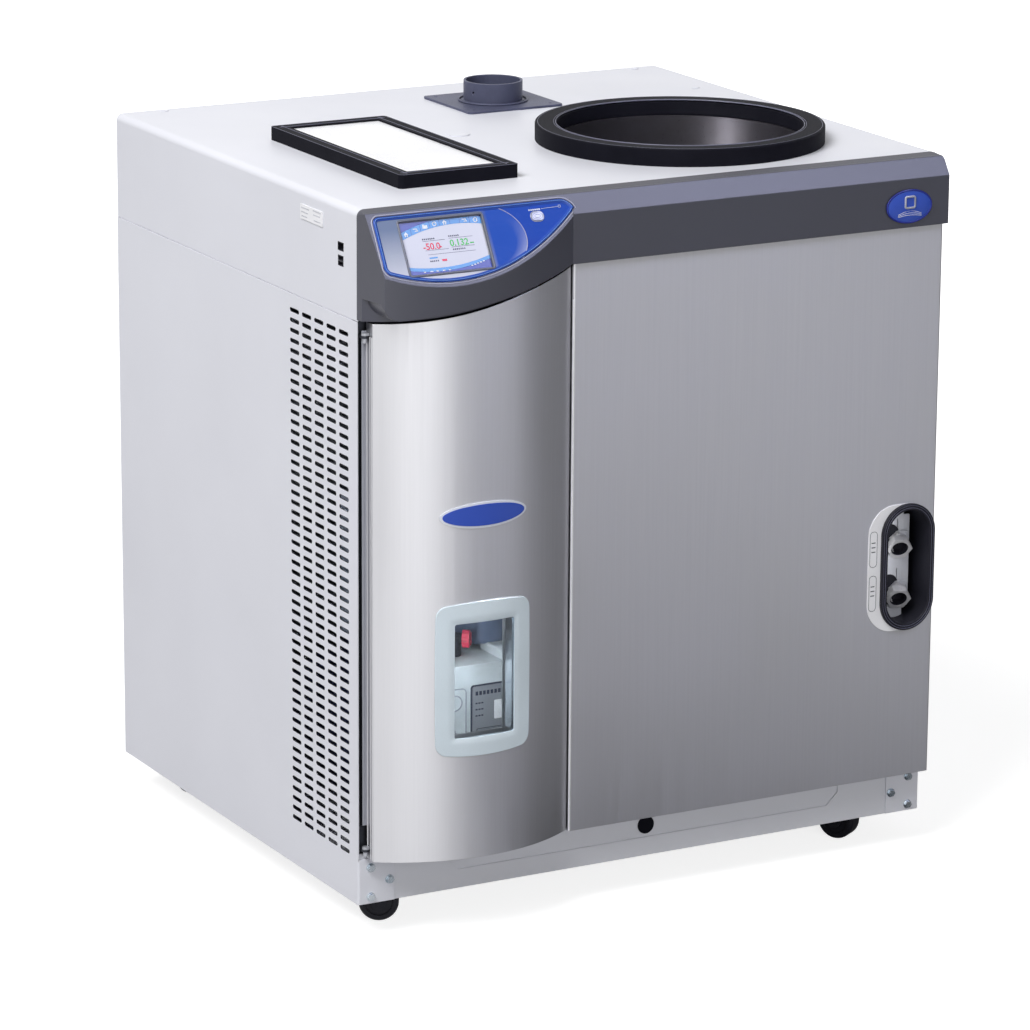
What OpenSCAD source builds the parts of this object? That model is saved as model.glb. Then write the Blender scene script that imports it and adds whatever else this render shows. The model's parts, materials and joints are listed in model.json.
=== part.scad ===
// Floor-standing laboratory freeze dryer: a sheet-metal cabinet on four swivel
// casters, a collector chamber with a rubber sealing ring in the top, a curved
// door over the pump bay, and a moulded fascia with a tilted control pod.
// Millimetres. +X is to the right of a person facing the machine, which faces -Y.
// Z is 0 on the floor. X and Y are 0 at the centre of the overall box.

/* [Cabinet] */
// Width of the cabinet
cabinet_w = 806; // [670:1:970]
// Depth of the cabinet's side panels
cabinet_d = 686; // [640:1:830]
// Height of the cover's top above the floor
cabinet_h = 907; // [800:1:1090]
// Floor to the lower edge of the side panels
base_clear = 48; // [44:1:56]
// Height of the top cover, from its seam to its top
cover_h = 134; // [112:1:161]
// Thickness of the cabinet's sheet metal
sheet_t = 1.5; // [1.2:0.1:1.8]
// Radius of the cover's side folds
cover_fold_r = 9; // [6:1:11]
// Width of the folded returns inside the cabinet
return_w = 18; // [14:1:22]

/* [Foot] */
// Width of the foot flange that each side panel wraps round the front
foot_w = 49.6; // [41:0.1:60]
// Height of the foot flange
foot_h = 57; // [50:1:62]
// Fold radius at the foot flange's outer corner
foot_fold_r = 3; // [2:0.5:4]
// Floor to the underside of the base pan
pan_z = 68; // [66:1:76]
// Radius of the round plug in the base pan's front wall
grommet_r = 11.5; // [9:0.5:14]

/* [Side vents] */
// Number of vent columns in each side panel
vent_cols = 5; // [4:1:6]
// Length of a vent slot
vent_len = 24; // [20:1:28]
// Height of a vent slot
vent_h = 4.8; // [4:0.1:5.8]
// Spacing of the vent columns
vent_pitch_y = 32.9; // [31:0.1:39]
// Spacing of the vent rows
vent_pitch_z = 12.61; // [10.5:0.01:15.2]

/* [Door] */
// Width of the pump bay's door
door_w = 266; // [222:1:268]
// How far the door's edges stand in front of the cabinet
door_edge = 18; // [15:1:21]
// How far the door bows out beyond its edges
door_bow = 41.5; // [35:0.5:48]
// Thickness of the door's stainless skin
door_skin_t = 1.2; // [1:0.1:1.5]
// How far the door opens, in degrees
door_open_deg = 110; // [80:5:110]
// Radius of the door's hinge pins
hinge_pin_r = 3; // [2.5:0.1:3]

/* [Door window] */
// Width of the window's frosted border
window_w = 124; // [104:1:148]
// Height of the window's frosted border
window_h = 184; // [153:1:220]
// Width of the clear pane
pane_w = 80; // [67:1:94]
// Height of the clear pane
pane_h = 143; // [119:1:160]
// How far the border's sides bow outwards
window_bow = 3.5; // [0:0.5:5]

/* [Front panel] */
// How far the flat front panel stands in front of the cabinet
panel_proud = 21.5; // [18:0.5:24]
// Width of the door's bay, from the cabinet's left side to the front panel
bay_w = 279; // [274:1:334]

/* [Fascia] */
// Wall thickness of the moulded fascia
fascia_t = 3; // [2.5:0.1:3.6]
// How far the fascia's bar stands in front of the cabinet
bar_proud = 30.5; // [28:0.5:36]
// Height of the bar's upright face
bar_face_h = 61; // [51:1:73]
// Drop of the bar's chamfer
chamfer_drop = 20.5; // [17:0.5:24]
// How far the control pod stands forward at its left edge
pod_side = 57; // [50:1:64]
// Radius of the control pod's front in plan
pod_r = 440; // [370:5:520]
// How far the pod's left side leans in towards its front
pod_draft = 8; // [5:1:10]
// Tilt of the control face from upright
pod_tilt = 30.5; // [27:0.5:33]
// Height of the pod's lowest point above the cover's seam
pod_low = 9.5; // [8:0.5:12]
// Radius of the pod's lower left corner
pod_corner_r = 20; // [15:1:24]

/* [Controls] */
// Width of the touchscreen's bezel
screen_w = 112.5; // [94:0.5:125]
// Height of the touchscreen's bezel, along the tilted face
screen_h = 69.5; // [58:0.5:74]
// Width of the power button
button_w = 15.5; // [13:0.5:18]
// Height of the power button
button_h = 10.5; // [9:0.5:12.5]
// Travel of the power button
button_travel = 1; // [0.8:0.1:1.2]

/* [Collector] */
// Outer radius of the rubber sealing ring
ring_r = 182; // [168:1:210]
// Inner radius of the sealing ring's seat
ring_bore_r = 155.4; // [140:0.2:158]
// Height of the sealing ring above the cover
ring_h = 22; // [18:1:26]
// Depth of the collector chamber below the cover
chamber_depth = 290; // [240:1:348]
// Distance from the chamber's centre to the cabinet's right side
ring_from_right = 247; // [236:1:262]
// Distance from the chamber's centre to the cabinet's front
ring_from_front = 209; // [205:1:250]
// Turns of the evaporator coil round the chamber
coil_turns = 9; // [6:1:10]

/* [Top fittings] */
// Outer radius of the rear port's collar
port_r = 38.5; // [32:0.5:46]
// Wall of the port's collar
port_wall = 3; // [2.5:0.1:3.6]
// Height of the port's collar above the cover
port_h = 30; // [25:1:36]
// Width of the port's square base
port_base_w = 138; // [120:1:150]
// Width of the rubber-framed work pad
pad_w = 161.5; // [135:0.5:194]
// Length of the work pad, front to back
pad_l = 356; // [297:1:420]
// Height of the pad's frame
pad_h = 16.7; // [14:0.1:20]
// Width of the pad's frame
pad_rim = 19; // [16:0.5:22]

/* [Drain recess] */
// Width of the drain recess's bezel
drain_w = 78; // [70:1:84]
// Height of the drain recess's bezel
drain_h = 165; // [150:1:198]
// Width of the bezel's rim
drain_rim = 8.3; // [7:0.1:9]
// Depth of the drain recess behind the front panel
drain_depth = 62; // [56:1:72]
// Radius of the drain fittings' bores
drain_bore_r = 11; // [9:0.1:11.5]

/* [Casters] */
// Radius of a caster wheel
wheel_r = 25; // [24:0.5:26]
// Width of a caster wheel
wheel_w = 26; // [22:1:30]
// Distance from a caster's swivel axis to its wheel's axis
caster_trail = 8; // [6:0.5:10]
// Radius of a caster's king pin
king_r = 5; // [4:0.1:6]

/* [Fits] */
// Radial clearance of a pin or shaft that turns in a bore
running_gap = 0.06; // [0.03:0.01:0.1]
// Gap between parts that slide or swing past one another
part_gap = 0.3; // [0.2:0.05:0.5]
// Gap along the edges of the door
door_gap = 2; // [1.5:0.1:2.5]

/* [Hidden] */
$fn = 64;

// --- Small functions --------------------------------------------------------------------
// Centre of the circle of radius r through p and q, on the left of the way from p to q
function centre_left(p, q, r) =
    let (d = norm(q - p), m = (p + q) / 2, n = [-(q[1] - p[1]), q[0] - p[0]] / d)
    m + n * sqrt(r * r - d * d / 4);
// Radius of an arc with a given chord and rise
function arc_radius(chord, rise) = (chord * chord / 4 + rise * rise) / (2 * rise);

// --- Cabinet ----------------------------------------------------------------------------
hw = cabinet_w / 2;
sheet_in = hw - sheet_t;                       // inner face of a side panel
cover_inset = 0.7;                             // the cover is this much narrower each side
cover_hw = hw - cover_inset;
cover_in = cover_hw - sheet_t;
seam_z = cabinet_h - cover_h;
seam_gap = 0.9;                                // open seam under the cover's side edges
rear_stand = 3;                                // how far the power inlet stands out behind

// Control pod in plan, with y measured from the cabinet's front
pod_left = -hw + pod_draft;
crease_x = -hw + bay_w;
pod_end_x = crease_x - 6;
pod_c = centre_left([pod_left, -pod_side], [pod_end_x, -bar_proud], pod_r);
pod_reach = pod_r - pod_c[1];                  // the pod's apex in front of the cabinet
front_y = (pod_reach - cabinet_d - rear_stand) / 2;
back_y = front_y + cabinet_d;
pan_top = pan_z + 2;
foot_top = base_clear + foot_h;
// The foot flange, the apron and the pan's wall lie one behind the other
apron_y = front_y + sheet_t;
pan_y = front_y + 2 * sheet_t;
frame_y = front_y + 3 * sheet_t;
frame_depth = 12;
frame_back = frame_y + frame_depth;
rear_in = back_y - 2 * sheet_t;                // inner face of the side panels' rear returns

// Vents
vent_first_y = front_y + 34.8;
vent_top_z = seam_z - 20.3;
vent_low_z = foot_top + 4;
vent_rows = floor((vent_top_z - vent_low_z) / vent_pitch_z) + 1;

// --- Door -------------------------------------------------------------------------------
door_right = crease_x - 1.5;
door_left = door_right - door_w;
door_mid = (door_left + door_right) / 2;
door_r = arc_radius(door_w, door_bow);
door_cy = front_y - door_edge - door_bow + door_r;
door_low_z = foot_top + door_gap;
door_back = front_y - 1.8;                     // back face of the door's liner
liner_t = 1.2;
hinge_x = door_left - 4.25;
hinge_y = front_y - 6;
hinge_lug_r = 4;
lug_t = 3;
lug_z = [door_low_z + 14, seam_z - 16];        // undersides of the two hinge lugs
lug_slot = 1;                                  // clearance round a lug in the skin's edge
window_mid_x = door_mid - 3;
window_mid_z = 333;
pane_mid_z = 332;
badge_mid_z = 532;
catch_z = (door_low_z + seam_z) / 2;

// --- Fascia -----------------------------------------------------------------------------
strip_front = front_y - 17.2;                  // front edge of the fascia's top strip
strip_drop = 4.6;
bar_low_z = cabinet_h - strip_drop - chamfer_drop - bar_face_h;
pod_low_x = -hw + 17;
pod_low_z = seam_z + pod_low;
smile_r = arc_radius(2 * (crease_x - 8 - pod_low_x), bar_low_z - pod_low_z);
skirt_t = 2.5;
skirt_low_z = seam_z + 2.2;
skirt_end_z = bar_low_z - 1.5;
// The skirt's edge runs level at the left, then in an arc up to a straight slope
skirt_slope = atan((skirt_end_z - skirt_low_z) / (bay_w * 0.725));
skirt_r = bay_w * 0.275 / tan(skirt_slope / 2);
pod_lip = 3;                                   // the rim left round the control overlay
overlay_sink = 1.6;                            // how deep the overlay's pocket is
overlay_t = 1.4;
overlay_nose_r = 20;
overlay_r = 12;                                // lower left corner of the overlay
screen_left = -hw + 41;
screen_top = -10.5;                            // down the tilted face from its top edge
bezel_t = 1.5;
screen_r = 3;
button_u = crease_x - 54;
button_v = -22;
display_depth = 9;

// --- Front panel ------------------------------------------------------------------------
panel_left = crease_x;
panel_right = hw - 1;
panel_low_z = foot_top + 0.5;
panel_top_z = bar_low_z - part_gap;
panel_y = front_y - panel_proud;
panel_fold_r = 3;

// --- Drain recess -----------------------------------------------------------------------
drain_x = hw - 42.2;
drain_z = base_clear + 334;
drain_open_w = drain_w - 2 * drain_rim;
drain_open_h = drain_h - 2 * drain_rim;
drain_tub_t = 2.2;
drain_cut_gap = 0.4;
drain_label_shift = 19;
drain_bezel_t = 4;
label_t = 0.8;
fitting_pitch = 65.8;
fitting_yaw = -17;                             // the fittings look a little to the left
fitting_pitch_deg = 25.5;                      // and down
fitting_af = 29;
back_nut_af = 24;
tab_at = -21.5;                                // back of a fitting's tab, along its bore
bracket_y = panel_y + 27;

// --- Collector --------------------------------------------------------------------------
ring_x = hw - ring_from_right;
ring_y = front_y + ring_from_front;
chamber_t = 1.5;
chamber_r = ring_bore_r - 3.4;                 // inside of the chamber
chamber_out = chamber_r + chamber_t;
rim_w = 18;
rim_t = 2;
coil_tube_r = 4.8;
coil_r = chamber_out + part_gap + coil_tube_r;
jacket_in = coil_r + coil_tube_r + part_gap;
jacket_r = min(jacket_in + 12, ring_from_front - 3 * sheet_t - frame_depth - 2);
coil_pitch = (chamber_depth - 90) / (coil_turns - 1);
outlet_r = 8;

// --- Things on the cover ----------------------------------------------------------------
port_x = hw - 334.5;
port_y = back_y - 145;
port_base_t = 3;
pad_x = -hw + 181;
pad_y = front_y + 261.8;
pad_step = 2.2;                                // the insert lies this far below the rim
pad_ledge = 4;
insert_t = 3;
plugs = [[-hw + 63.5, back_y - 11.5, 5], [hw - 45, back_y - 11.5, 5],
         [hw - 45, back_y - 174, 5], [-hw + 326, back_y - 323.5, 15]];

// --- Inside -----------------------------------------------------------------------------
bay_wall_x = crease_x + 6;
bay_depth = 500;
bay_back = front_y + bay_depth;
bay_top = seam_z - 28;
post_w = 20;
hinge_lap = 10.7;                              // the left post reaches this far behind the door
mid_post = [crease_x - 36, crease_x + 20];
bay_open = [[door_left + hinge_lap, mid_post[0]], [pan_top + 46, bay_top]];
right_open = [[mid_post[1], cover_in - post_w], [pan_top + 46, bar_low_z - 24]];
pump_x = -hw + 158;
pump_y = front_y + 43;
pump_case_w = 176;
pump_case_l = 118;
pump_z = pan_top + 22;
pump_top = base_clear + 268;
motor_r = 72;
motor_l = 240;
motor_z = pump_z + 12 + motor_r;
filter_r = 42;
filter_h = 120;
filter_at = [pump_x + 78, pump_y + 84];
knob_at = [pump_x + 20, pump_y + 46];
knob_z = pump_top + 22;
knob_turn = -35;                               // way the knob's stem points, from +X
line_r = 13;
line_z = cabinet_h - 45;                       // height of the pipe's level run
line_at = [pump_x - 40, pump_y + 86];
line_turn = atan2(ring_y - line_at[1], ring_x - line_at[0]);
bend_r = 40;
comp_at = [hw - 150, back_y - 320];
comp_r = 84;
comp_h = 190;
fan_x = hw - 230;
fan_z = pan_top + 205;
fan_r = 112;
condenser_w = 270;
condenser_h = 270;
condenser_y = back_y - 132;
condenser_d = 44;
shroud_y = condenser_y + condenser_d;
shroud_d = 34;
blade_count = 5;
blade_pitch = 22;
shaft_r = 4;
inlet_at = [-hw + 92, pan_top + 70];
inlet_w = 48;
inlet_h = 28;

// --- Casters ----------------------------------------------------------------------------
caster_x = hw - 70;
caster_front_y = front_y + 64.8;
caster_rear_y = back_y - 66;
plate_t = 3;
race_t = 4;
crown_t = 3;
crown_h = 7;
fork_gap = 1.2;
leg_t = 2.4;
axle_r = 3;
// Place and rest angle of each caster: the way its trail points, in degrees from +X
caster_fl = [-caster_x, caster_front_y, 152];
caster_fr = [caster_x, caster_front_y, 122];
caster_rl = [-caster_x, caster_rear_y, 100];
caster_rr = [caster_x, caster_rear_y, 64];

// --- Building blocks --------------------------------------------------------------------
// A box from its limits along X, Y and Z
module span(x, y, z) {
    translate([x[0], y[0], z[0]]) cube([x[1] - x[0], y[1] - y[0], z[1] - z[0]]);
}
// Extrudes a drawing of X and Z from y0 to y1
module along_y(y0, y1) {
    translate([0, y1, 0]) rotate([90, 0, 0]) linear_extrude(y1 - y0) children();
}
// Extrudes a drawing of Y and Z from x0 to x1
module along_x(x0, x1) {
    translate([x0, 0, 0]) rotate([90, 0, 90]) linear_extrude(x1 - x0) children();
}
// Extrudes a drawing of X and Y from z0 to z1
module along_z(z0, z1) {
    translate([0, 0, z0]) linear_extrude(z1 - z0) children();
}
module rect(x, y) {
    translate([x[0], y[0]]) square([x[1] - x[0], y[1] - y[0]]);
}
// A rectangle with round corners, centred
module round_rect(w, h, r) {
    square([w - 2 * r, h], center = true);
    square([w, h - 2 * r], center = true);
    for (x = [-1, 1], y = [-1, 1]) translate([x * (w / 2 - r), y * (h / 2 - r)]) circle(r);
}
// An upright slot with round ends, centred
module upright_slot(w, h) {
    square([w, h - w], center = true);
    for (s = [-1, 1]) translate([0, s * (h - w) / 2]) circle(w / 2);
}
// A lying slot with round ends, centred
module lying_slot(w, h) {
    rotate(90) upright_slot(h, w);
}
// What a fillet of radius r takes off a corner at the origin that opens towards +X +Y
module corner_waste(r) {
    difference() {
        translate([-1, -1]) square(r + 1);
        translate([r, r]) circle(r);
    }
}
// A field of vent slots: first column and row, then columns to +X and rows downwards
module vent_field(x0, z0, cols, rows) {
    for (i = [0:cols - 1], j = [0:rows - 1])
        translate([x0 + i * vent_pitch_y, z0 - j * vent_pitch_z]) lying_slot(vent_len, vent_h);
}

// --- Cabinet shell ----------------------------------------------------------------------
module base_pan() color("gainsboro") difference() {
    union() {
        span([-sheet_in, sheet_in], [pan_y, rear_in], [pan_z, pan_top]);
        span([-sheet_in, sheet_in], [pan_y, frame_y], [pan_z, foot_top + 7]);
        span([-sheet_in, sheet_in], [rear_in - sheet_t, rear_in], [pan_z, foot_top]);
        for (s = [0, 1]) mirror([s, 0, 0])
            span([-sheet_in, -sheet_in + sheet_t], [frame_back + 1, rear_in], [pan_z, foot_top]);
    }
    along_y(pan_y - 1, frame_y + 1) {
        translate([0, foot_top - 17.4]) circle(grommet_r - 1.5);
        foot_screw_places() circle(screw_r + part_gap);
    }
}

screw_r = 2;
screw_head_af = 8;
screw_in = 17;
// Where the screws of both foot flanges go, in X and Z
module foot_screw_places() {
    for (s = [-1, 1]) {
        for (p = [[screw_in, foot_h - 11], [screw_in + 25.5, foot_h - 29.5], [screw_in, 8.5]])
            translate([s * (hw - p[0]), base_clear + p[1]]) children();
    }
}
module base_screws() color("lightsteelblue") {
    along_y(front_y - 4.5, front_y) foot_screw_places() circle(screw_head_af / sqrt(3), $fn = 6);
    along_y(front_y - 1.2, front_y) foot_screw_places() circle(screw_head_af / 2 + 1.6);
    along_y(front_y, frame_y) foot_screw_places() circle(screw_r);
}

module base_grommet() color("black") {
    z = foot_top - 17.4;
    along_y(pan_y - 1, pan_y) translate([0, z]) circle(grommet_r);
    along_y(pan_y, frame_y + 3) translate([0, z]) circle(grommet_r - 1.5 - running_gap);
}

// The strip across the cabinet's foot, with a shallow notch in its upper edge
module front_apron() color("gainsboro") {
    notch_half = hw - 122;
    notch_low = 24;
    notch_slope = 16;
    along_y(apron_y, pan_y) difference() {
        rect([-sheet_in, sheet_in], [base_clear, foot_top]);
        translate([0, base_clear + notch_low]) polygon([
            [-notch_half, foot_h], [-notch_half, notch_slope], [notch_slope - notch_half, 0],
            [notch_half - notch_slope, 0], [notch_half, notch_slope], [notch_half, foot_h]]);
        foot_screw_places() circle(screw_r + part_gap);
    }
    span([-sheet_in, sheet_in], [apron_y, apron_y + return_w], [base_clear, base_clear + sheet_t]);
}

// The left side panel; the right one is its mirror image
module side_panel() {
    along_x(-hw, -sheet_in) difference() {
        rect([front_y + foot_fold_r, back_y], [base_clear, seam_z - seam_gap]);
        vent_field(vent_first_y, vent_top_z, vent_cols, vent_rows);
    }
    // front edge, plain above the foot flange
    span([-hw, -sheet_in], [front_y, front_y + foot_fold_r], [foot_top, seam_z - seam_gap]);
    // foot flange with its folded corner
    difference() {
        union() {
            span([-hw, -sheet_in], [front_y, front_y + foot_fold_r], [base_clear, foot_top]);
            span([-hw, -hw + foot_w], [front_y, apron_y], [base_clear, foot_top]);
        }
        along_z(base_clear - 1, foot_top + 1) translate([-hw, front_y]) corner_waste(foot_fold_r);
        along_y(front_y - 1, apron_y + 1) foot_screw_places() circle(screw_r + part_gap);
    }
    // returns along the rear and the top
    span([-sheet_in, -sheet_in + return_w], [rear_in, rear_in + sheet_t], [base_clear, seam_z]);
    span([-sheet_in, -sheet_in + return_w], [frame_back + 1, rear_in],
        [seam_z - sheet_t, seam_z]);
}
module left_side_panel() color("gainsboro") side_panel();
module right_side_panel() color("gainsboro") mirror([1, 0, 0]) side_panel();

grille_cols = 7;
grille_rows = floor(2 * fan_r / vent_pitch_z);
module rear_panel() color("gainsboro") along_y(back_y - sheet_t, back_y) difference() {
    rect([-sheet_in, sheet_in], [base_clear, seam_z]);
    vent_field(fan_x - (grille_cols - 1) / 2 * vent_pitch_y, fan_z + (grille_rows - 1) / 2 * vent_pitch_z,
        grille_cols, grille_rows);
    translate(inlet_at) round_rect(inlet_w - 6 + part_gap, inlet_h - 4 + part_gap, 3);
}

port_hole_r = port_r - port_wall;
module cover_outline(inset, low) {
    difference() {
        rect([-cover_hw + inset, cover_hw - inset], [low, cabinet_h - inset]);
        for (s = [0, 1]) mirror([s, 0]) translate([-cover_hw + inset, cabinet_h - inset])
            mirror([0, 1]) corner_waste(cover_fold_r - inset);
    }
}
module top_cover() color("whitesmoke") difference() {
    along_y(front_y, back_y) cover_outline(0, seam_z);
    along_y(front_y - 1, back_y - sheet_t) cover_outline(sheet_t, seam_z - 1);
    translate([ring_x, ring_y, cabinet_h - 5]) cylinder(r = chamber_out + 1, h = 10);
    translate([port_x, port_y, cabinet_h - 5]) cylinder(r = port_hole_r, h = 10);
    for (p = plugs) translate([p[0], p[1], cabinet_h - 5]) cylinder(r = p[2] - 2, h = 10);
    along_x(-hw - 1, -cover_in + 1) data_port_places() data_port_body(part_gap);
}

module front_frame() color("dimgray") {
    front = [-cover_in, cover_in];
    z = [pan_top, cabinet_h - sheet_t];
    web = 2;
    difference() {
        span(front, [frame_y, frame_back], z);
        difference() {
            span([front[0] + web, front[1] - web], [frame_y + web, frame_back + 1],
                [z[0] - 1, z[1] - web]);
            for (o = [bay_open, right_open])
                span([o[0][0] - web, o[0][1] + web], [frame_y, frame_back + 2],
                    [o[1][0] - web, o[1][1] + web]);
        }
        for (o = [bay_open, right_open]) span(o[0], [frame_y - 1, frame_back + 3], o[1]);
        for (s = [0, 1]) mirror([s, 0, 0])
            translate([-cover_in, 0, cabinet_h - sheet_t]) mirror([0, 0, 1])
                along_y(frame_y - 1, frame_back + 1) corner_waste(cover_fold_r);
        // room behind the tilted display
        span([-cover_in + post_w, crease_x - 12], [frame_y - 1, frame_back + 1],
            [bay_top + 30, cabinet_h - 30]);
        // the base pan's grommet reaches in here
        translate([0, frame_y - 1, foot_top - 17.4]) rotate([-90, 0, 0])
            cylinder(r = grommet_r + 3, h = 8);
        along_y(frame_y - 1, frame_back) foot_screw_places() circle(screw_r + 1);
        along_y(frame_y - 1, frame_back + 1) translate([drain_x, drain_z])
            drain_slot(drain_tub_t + 1.5);
    }
}

// Stainless tray: an upright face with returns on all four sides
module front_panel() color("silver") {
    difference() {
        union() {
            difference() {
                span([panel_left, panel_right], [panel_y, front_y], [panel_low_z, panel_top_z]);
                span([panel_left + sheet_t, panel_right - sheet_t], [panel_y + sheet_t, front_y + 1],
                    [panel_low_z + sheet_t, panel_top_z - sheet_t]);
                along_z(panel_low_z - 1, panel_top_z + 1) {
                    translate([panel_left, panel_y]) corner_waste(panel_fold_r);
                    translate([panel_right, panel_y]) mirror([1, 0]) corner_waste(panel_fold_r);
                }
            }
            span([panel_left, panel_left + sheet_t], [front_y, frame_y],
                [panel_low_z + 10, panel_top_z]);
        }
        along_y(panel_y - 1, panel_y + sheet_t + 1) translate([drain_x, drain_z])
            upright_slot(drain_open_w + 2 * (drain_tub_t + drain_cut_gap),
                drain_open_h + 2 * (drain_tub_t + drain_cut_gap));
    }
}

// --- Fascia and controls ----------------------------------------------------------------
// Stands things on the tilted face: X stays, +Y runs up the face, +Z points out of it
module on_face() {
    translate([0, strip_front, cabinet_h - strip_drop]) rotate([90 - pod_tilt, 0, 0]) children();
}
// The pod in plan, moved in by a wall
module pod_plan(inset) {
    intersection() {
        translate([pod_c[0], front_y + pod_c[1]]) circle(pod_r - inset, $fn = 256);
        polygon([[-hw + inset, front_y + 40], [-hw + inset, front_y],
            [pod_left + inset, front_y - pod_side], [pod_left + inset, front_y - pod_side - 40],
            [crease_x + 3, front_y - pod_side - 40], [crease_x + 3, front_y + 40]]);
    }
}
// The pod from the front, moved in by a wall: a sagging lower edge with a round left corner
module pod_front(inset) {
    r = pod_corner_r - inset;
    difference() {
        intersection() {
            translate([pod_low_x, pod_low_z + smile_r]) circle(smile_r - inset, $fn = 512);
            rect([-hw + inset, crease_x + 3], [seam_z, cabinet_h]);
        }
        translate([corner_x, corner_z]) difference() {
            translate([-r - pod_draft - 1, -r - 5]) square([r + pod_draft + 1, r + 5]);
            circle(r);
        }
        translate([-hw + inset, cabinet_h - inset]) mirror([0, 1])
            corner_waste(cover_fold_r - inset);
    }
}
// Centre of the lower left corner, where its fillet meets the sagging edge
corner_x = pod_left + pod_corner_r - 1;
corner_z = pod_low_z + smile_r
    - sqrt(pow(smile_r - pod_corner_r, 2) - pow(corner_x - pod_low_x, 2));
// Points of the fascia's top strip and its bead, in Y and Z, moved in by a wall
function strip_points(inset) = [
    [front_y + 1, cabinet_h - inset], [front_y, cabinet_h - inset],
    [front_y - 13, cabinet_h - 3.2 - inset], [front_y - 13.6, cabinet_h - 2.3 - inset],
    [front_y - 16.4, cabinet_h - 3 - inset], [strip_front + inset / 2, cabinet_h - strip_drop - inset]];
module pod_side_view(inset) {
    reach = 70;
    polygon(concat(strip_points(inset), [
        [strip_front - reach * tan(pod_tilt) + inset / cos(pod_tilt),
            cabinet_h - strip_drop - reach],
        [strip_front - 160 * tan(pod_tilt) + inset / cos(pod_tilt), cabinet_h - strip_drop - 160],
        [front_y + 1, cabinet_h - strip_drop - 160]]));
}
module bar_side_view(inset) {
    polygon(concat(strip_points(inset), [
        [front_y - bar_proud + inset, cabinet_h - strip_drop - chamfer_drop - inset / 3],
        [front_y - bar_proud + inset, bar_low_z + inset], [front_y + 1, bar_low_z + inset]]));
}
module fascia_volume(inset, back) {
    intersection() {
        along_z(seam_z, cabinet_h) pod_plan(inset);
        along_y(front_y - 100, back) pod_front(inset);
        along_x(-hw, crease_x + 3) pod_side_view(inset);
    }
    intersection() {
        along_x(pod_end_x, hw - inset) bar_side_view(inset);
        along_y(front_y - 100, back) difference() {
            rect([pod_end_x, hw - inset], [bar_low_z, cabinet_h]);
            translate([hw - inset, cabinet_h - inset]) rotate(180)
                corner_waste(cover_fold_r - inset);
        }
    }
}
// The rib under the pod that follows the door, with the foot of the pod's left flank
module skirt() {
    intersection() {
        along_z(seam_z, cabinet_h) pod_plan(0);
        along_y(front_y - 90, front_y) above_skirt(0);
        union() {
            difference() {
                along_z(seam_z - 1, bar_low_z + 12) difference() {
                    skirt_plan(0, -hw - 1, crease_x);
                    skirt_plan(skirt_t, -hw + skirt_t, crease_x - skirt_t);
                }
                along_y(front_y - 90, front_y + 1)
                    translate([pod_low_x, pod_low_z + smile_r]) circle(smile_r - fascia_t, $fn = 512);
            }
            along_z(seam_z - 1, corner_z + 2) skirt_plan(0, -hw - 1, corner_x);
        }
    }
}
module skirt_plan(inset, left, right) {
    intersection() {
        translate([door_mid, door_cy]) circle(door_r - inset, $fn = 256);
        rect([left, right], [front_y - 90, front_y + (inset > 0 ? 1 : 0)]);
    }
}
// Everything above the skirt's lower edge from the front, grown downwards by a gap
module above_skirt(gap) {
    r = skirt_r + gap;
    turn_x = -hw + r * sin(skirt_slope);
    turn_z = skirt_low_z + skirt_r - r * cos(skirt_slope);
    intersection() {
        translate([-hw, skirt_low_z + skirt_r]) circle(r, $fn = 512);
        rect([-hw - 1, turn_x], [0, cabinet_h]);
    }
    polygon([[turn_x, turn_z], [crease_x, turn_z + (crease_x - turn_x) * tan(skirt_slope)],
        [crease_x, cabinet_h], [turn_x, cabinet_h]]);
}
// The overlay's outline on the tilted face, before the pod's front trims its lower edge
module overlay_outline(inset) {
    left = pod_left + pod_lip - 1.5 + inset;
    nose_x = crease_x - overlay_nose_r - 1;
    top = -pod_lip - inset;
    difference() {
        union() {
            rect([left, nose_x], [-150, top]);
            translate([nose_x, top + inset - overlay_nose_r]) circle(overlay_nose_r - inset);
        }
        translate([left, top]) mirror([0, 1]) corner_waste(8);
        // lower left corner, between the left edge and the pod's curved front
        plan_r = pod_r - pod_lip - inset;
        across = left - pod_c[0];
        deep = sqrt(plan_r * plan_r - across * across);
        low = (front_y + pod_c[1] - deep - strip_front) / sin(pod_tilt);
        fall = atan(-across / deep / sin(pod_tilt));
        run = overlay_r * (1 - sin(fall)) / cos(fall);
        centre = [left + overlay_r, low - run * sin(fall) + overlay_r * cos(fall)];
        difference() {
            polygon([[left - 2, centre[1]], [left - 2, low - 9],
                [left + run * cos(fall), low - run * sin(fall) - 9],
                [left + run * cos(fall), low - run * sin(fall)], centre]);
            translate(centre) circle(overlay_r);
        }
    }
}
module overlay_body(inset, low, high) {
    intersection() {
        on_face() translate([0, 0, low]) linear_extrude(high - low) overlay_outline(inset);
        along_z(seam_z, cabinet_h) pod_plan(pod_lip + inset);
    }
}
screen_u = screen_left + screen_w / 2;
screen_v = screen_top - screen_h / 2;
module on_screen() {
    on_face() translate([screen_u, screen_v, 0]) children();
}
module fascia() color("dimgray") {
    difference() {
        fascia_volume(0, front_y);
        fascia_volume(fascia_t, front_y + 1);
        overlay_body(0, -overlay_sink, 10);
        // openings for the display and the button
        on_screen() translate([0, 0, -30]) linear_extrude(40)
            round_rect(screen_w + 1, screen_h + 1, screen_r);
        on_face() translate([button_u, button_v, -30]) linear_extrude(40)
            lying_slot(button_w + 1, button_h + 1);
    }
    skirt();
}
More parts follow.
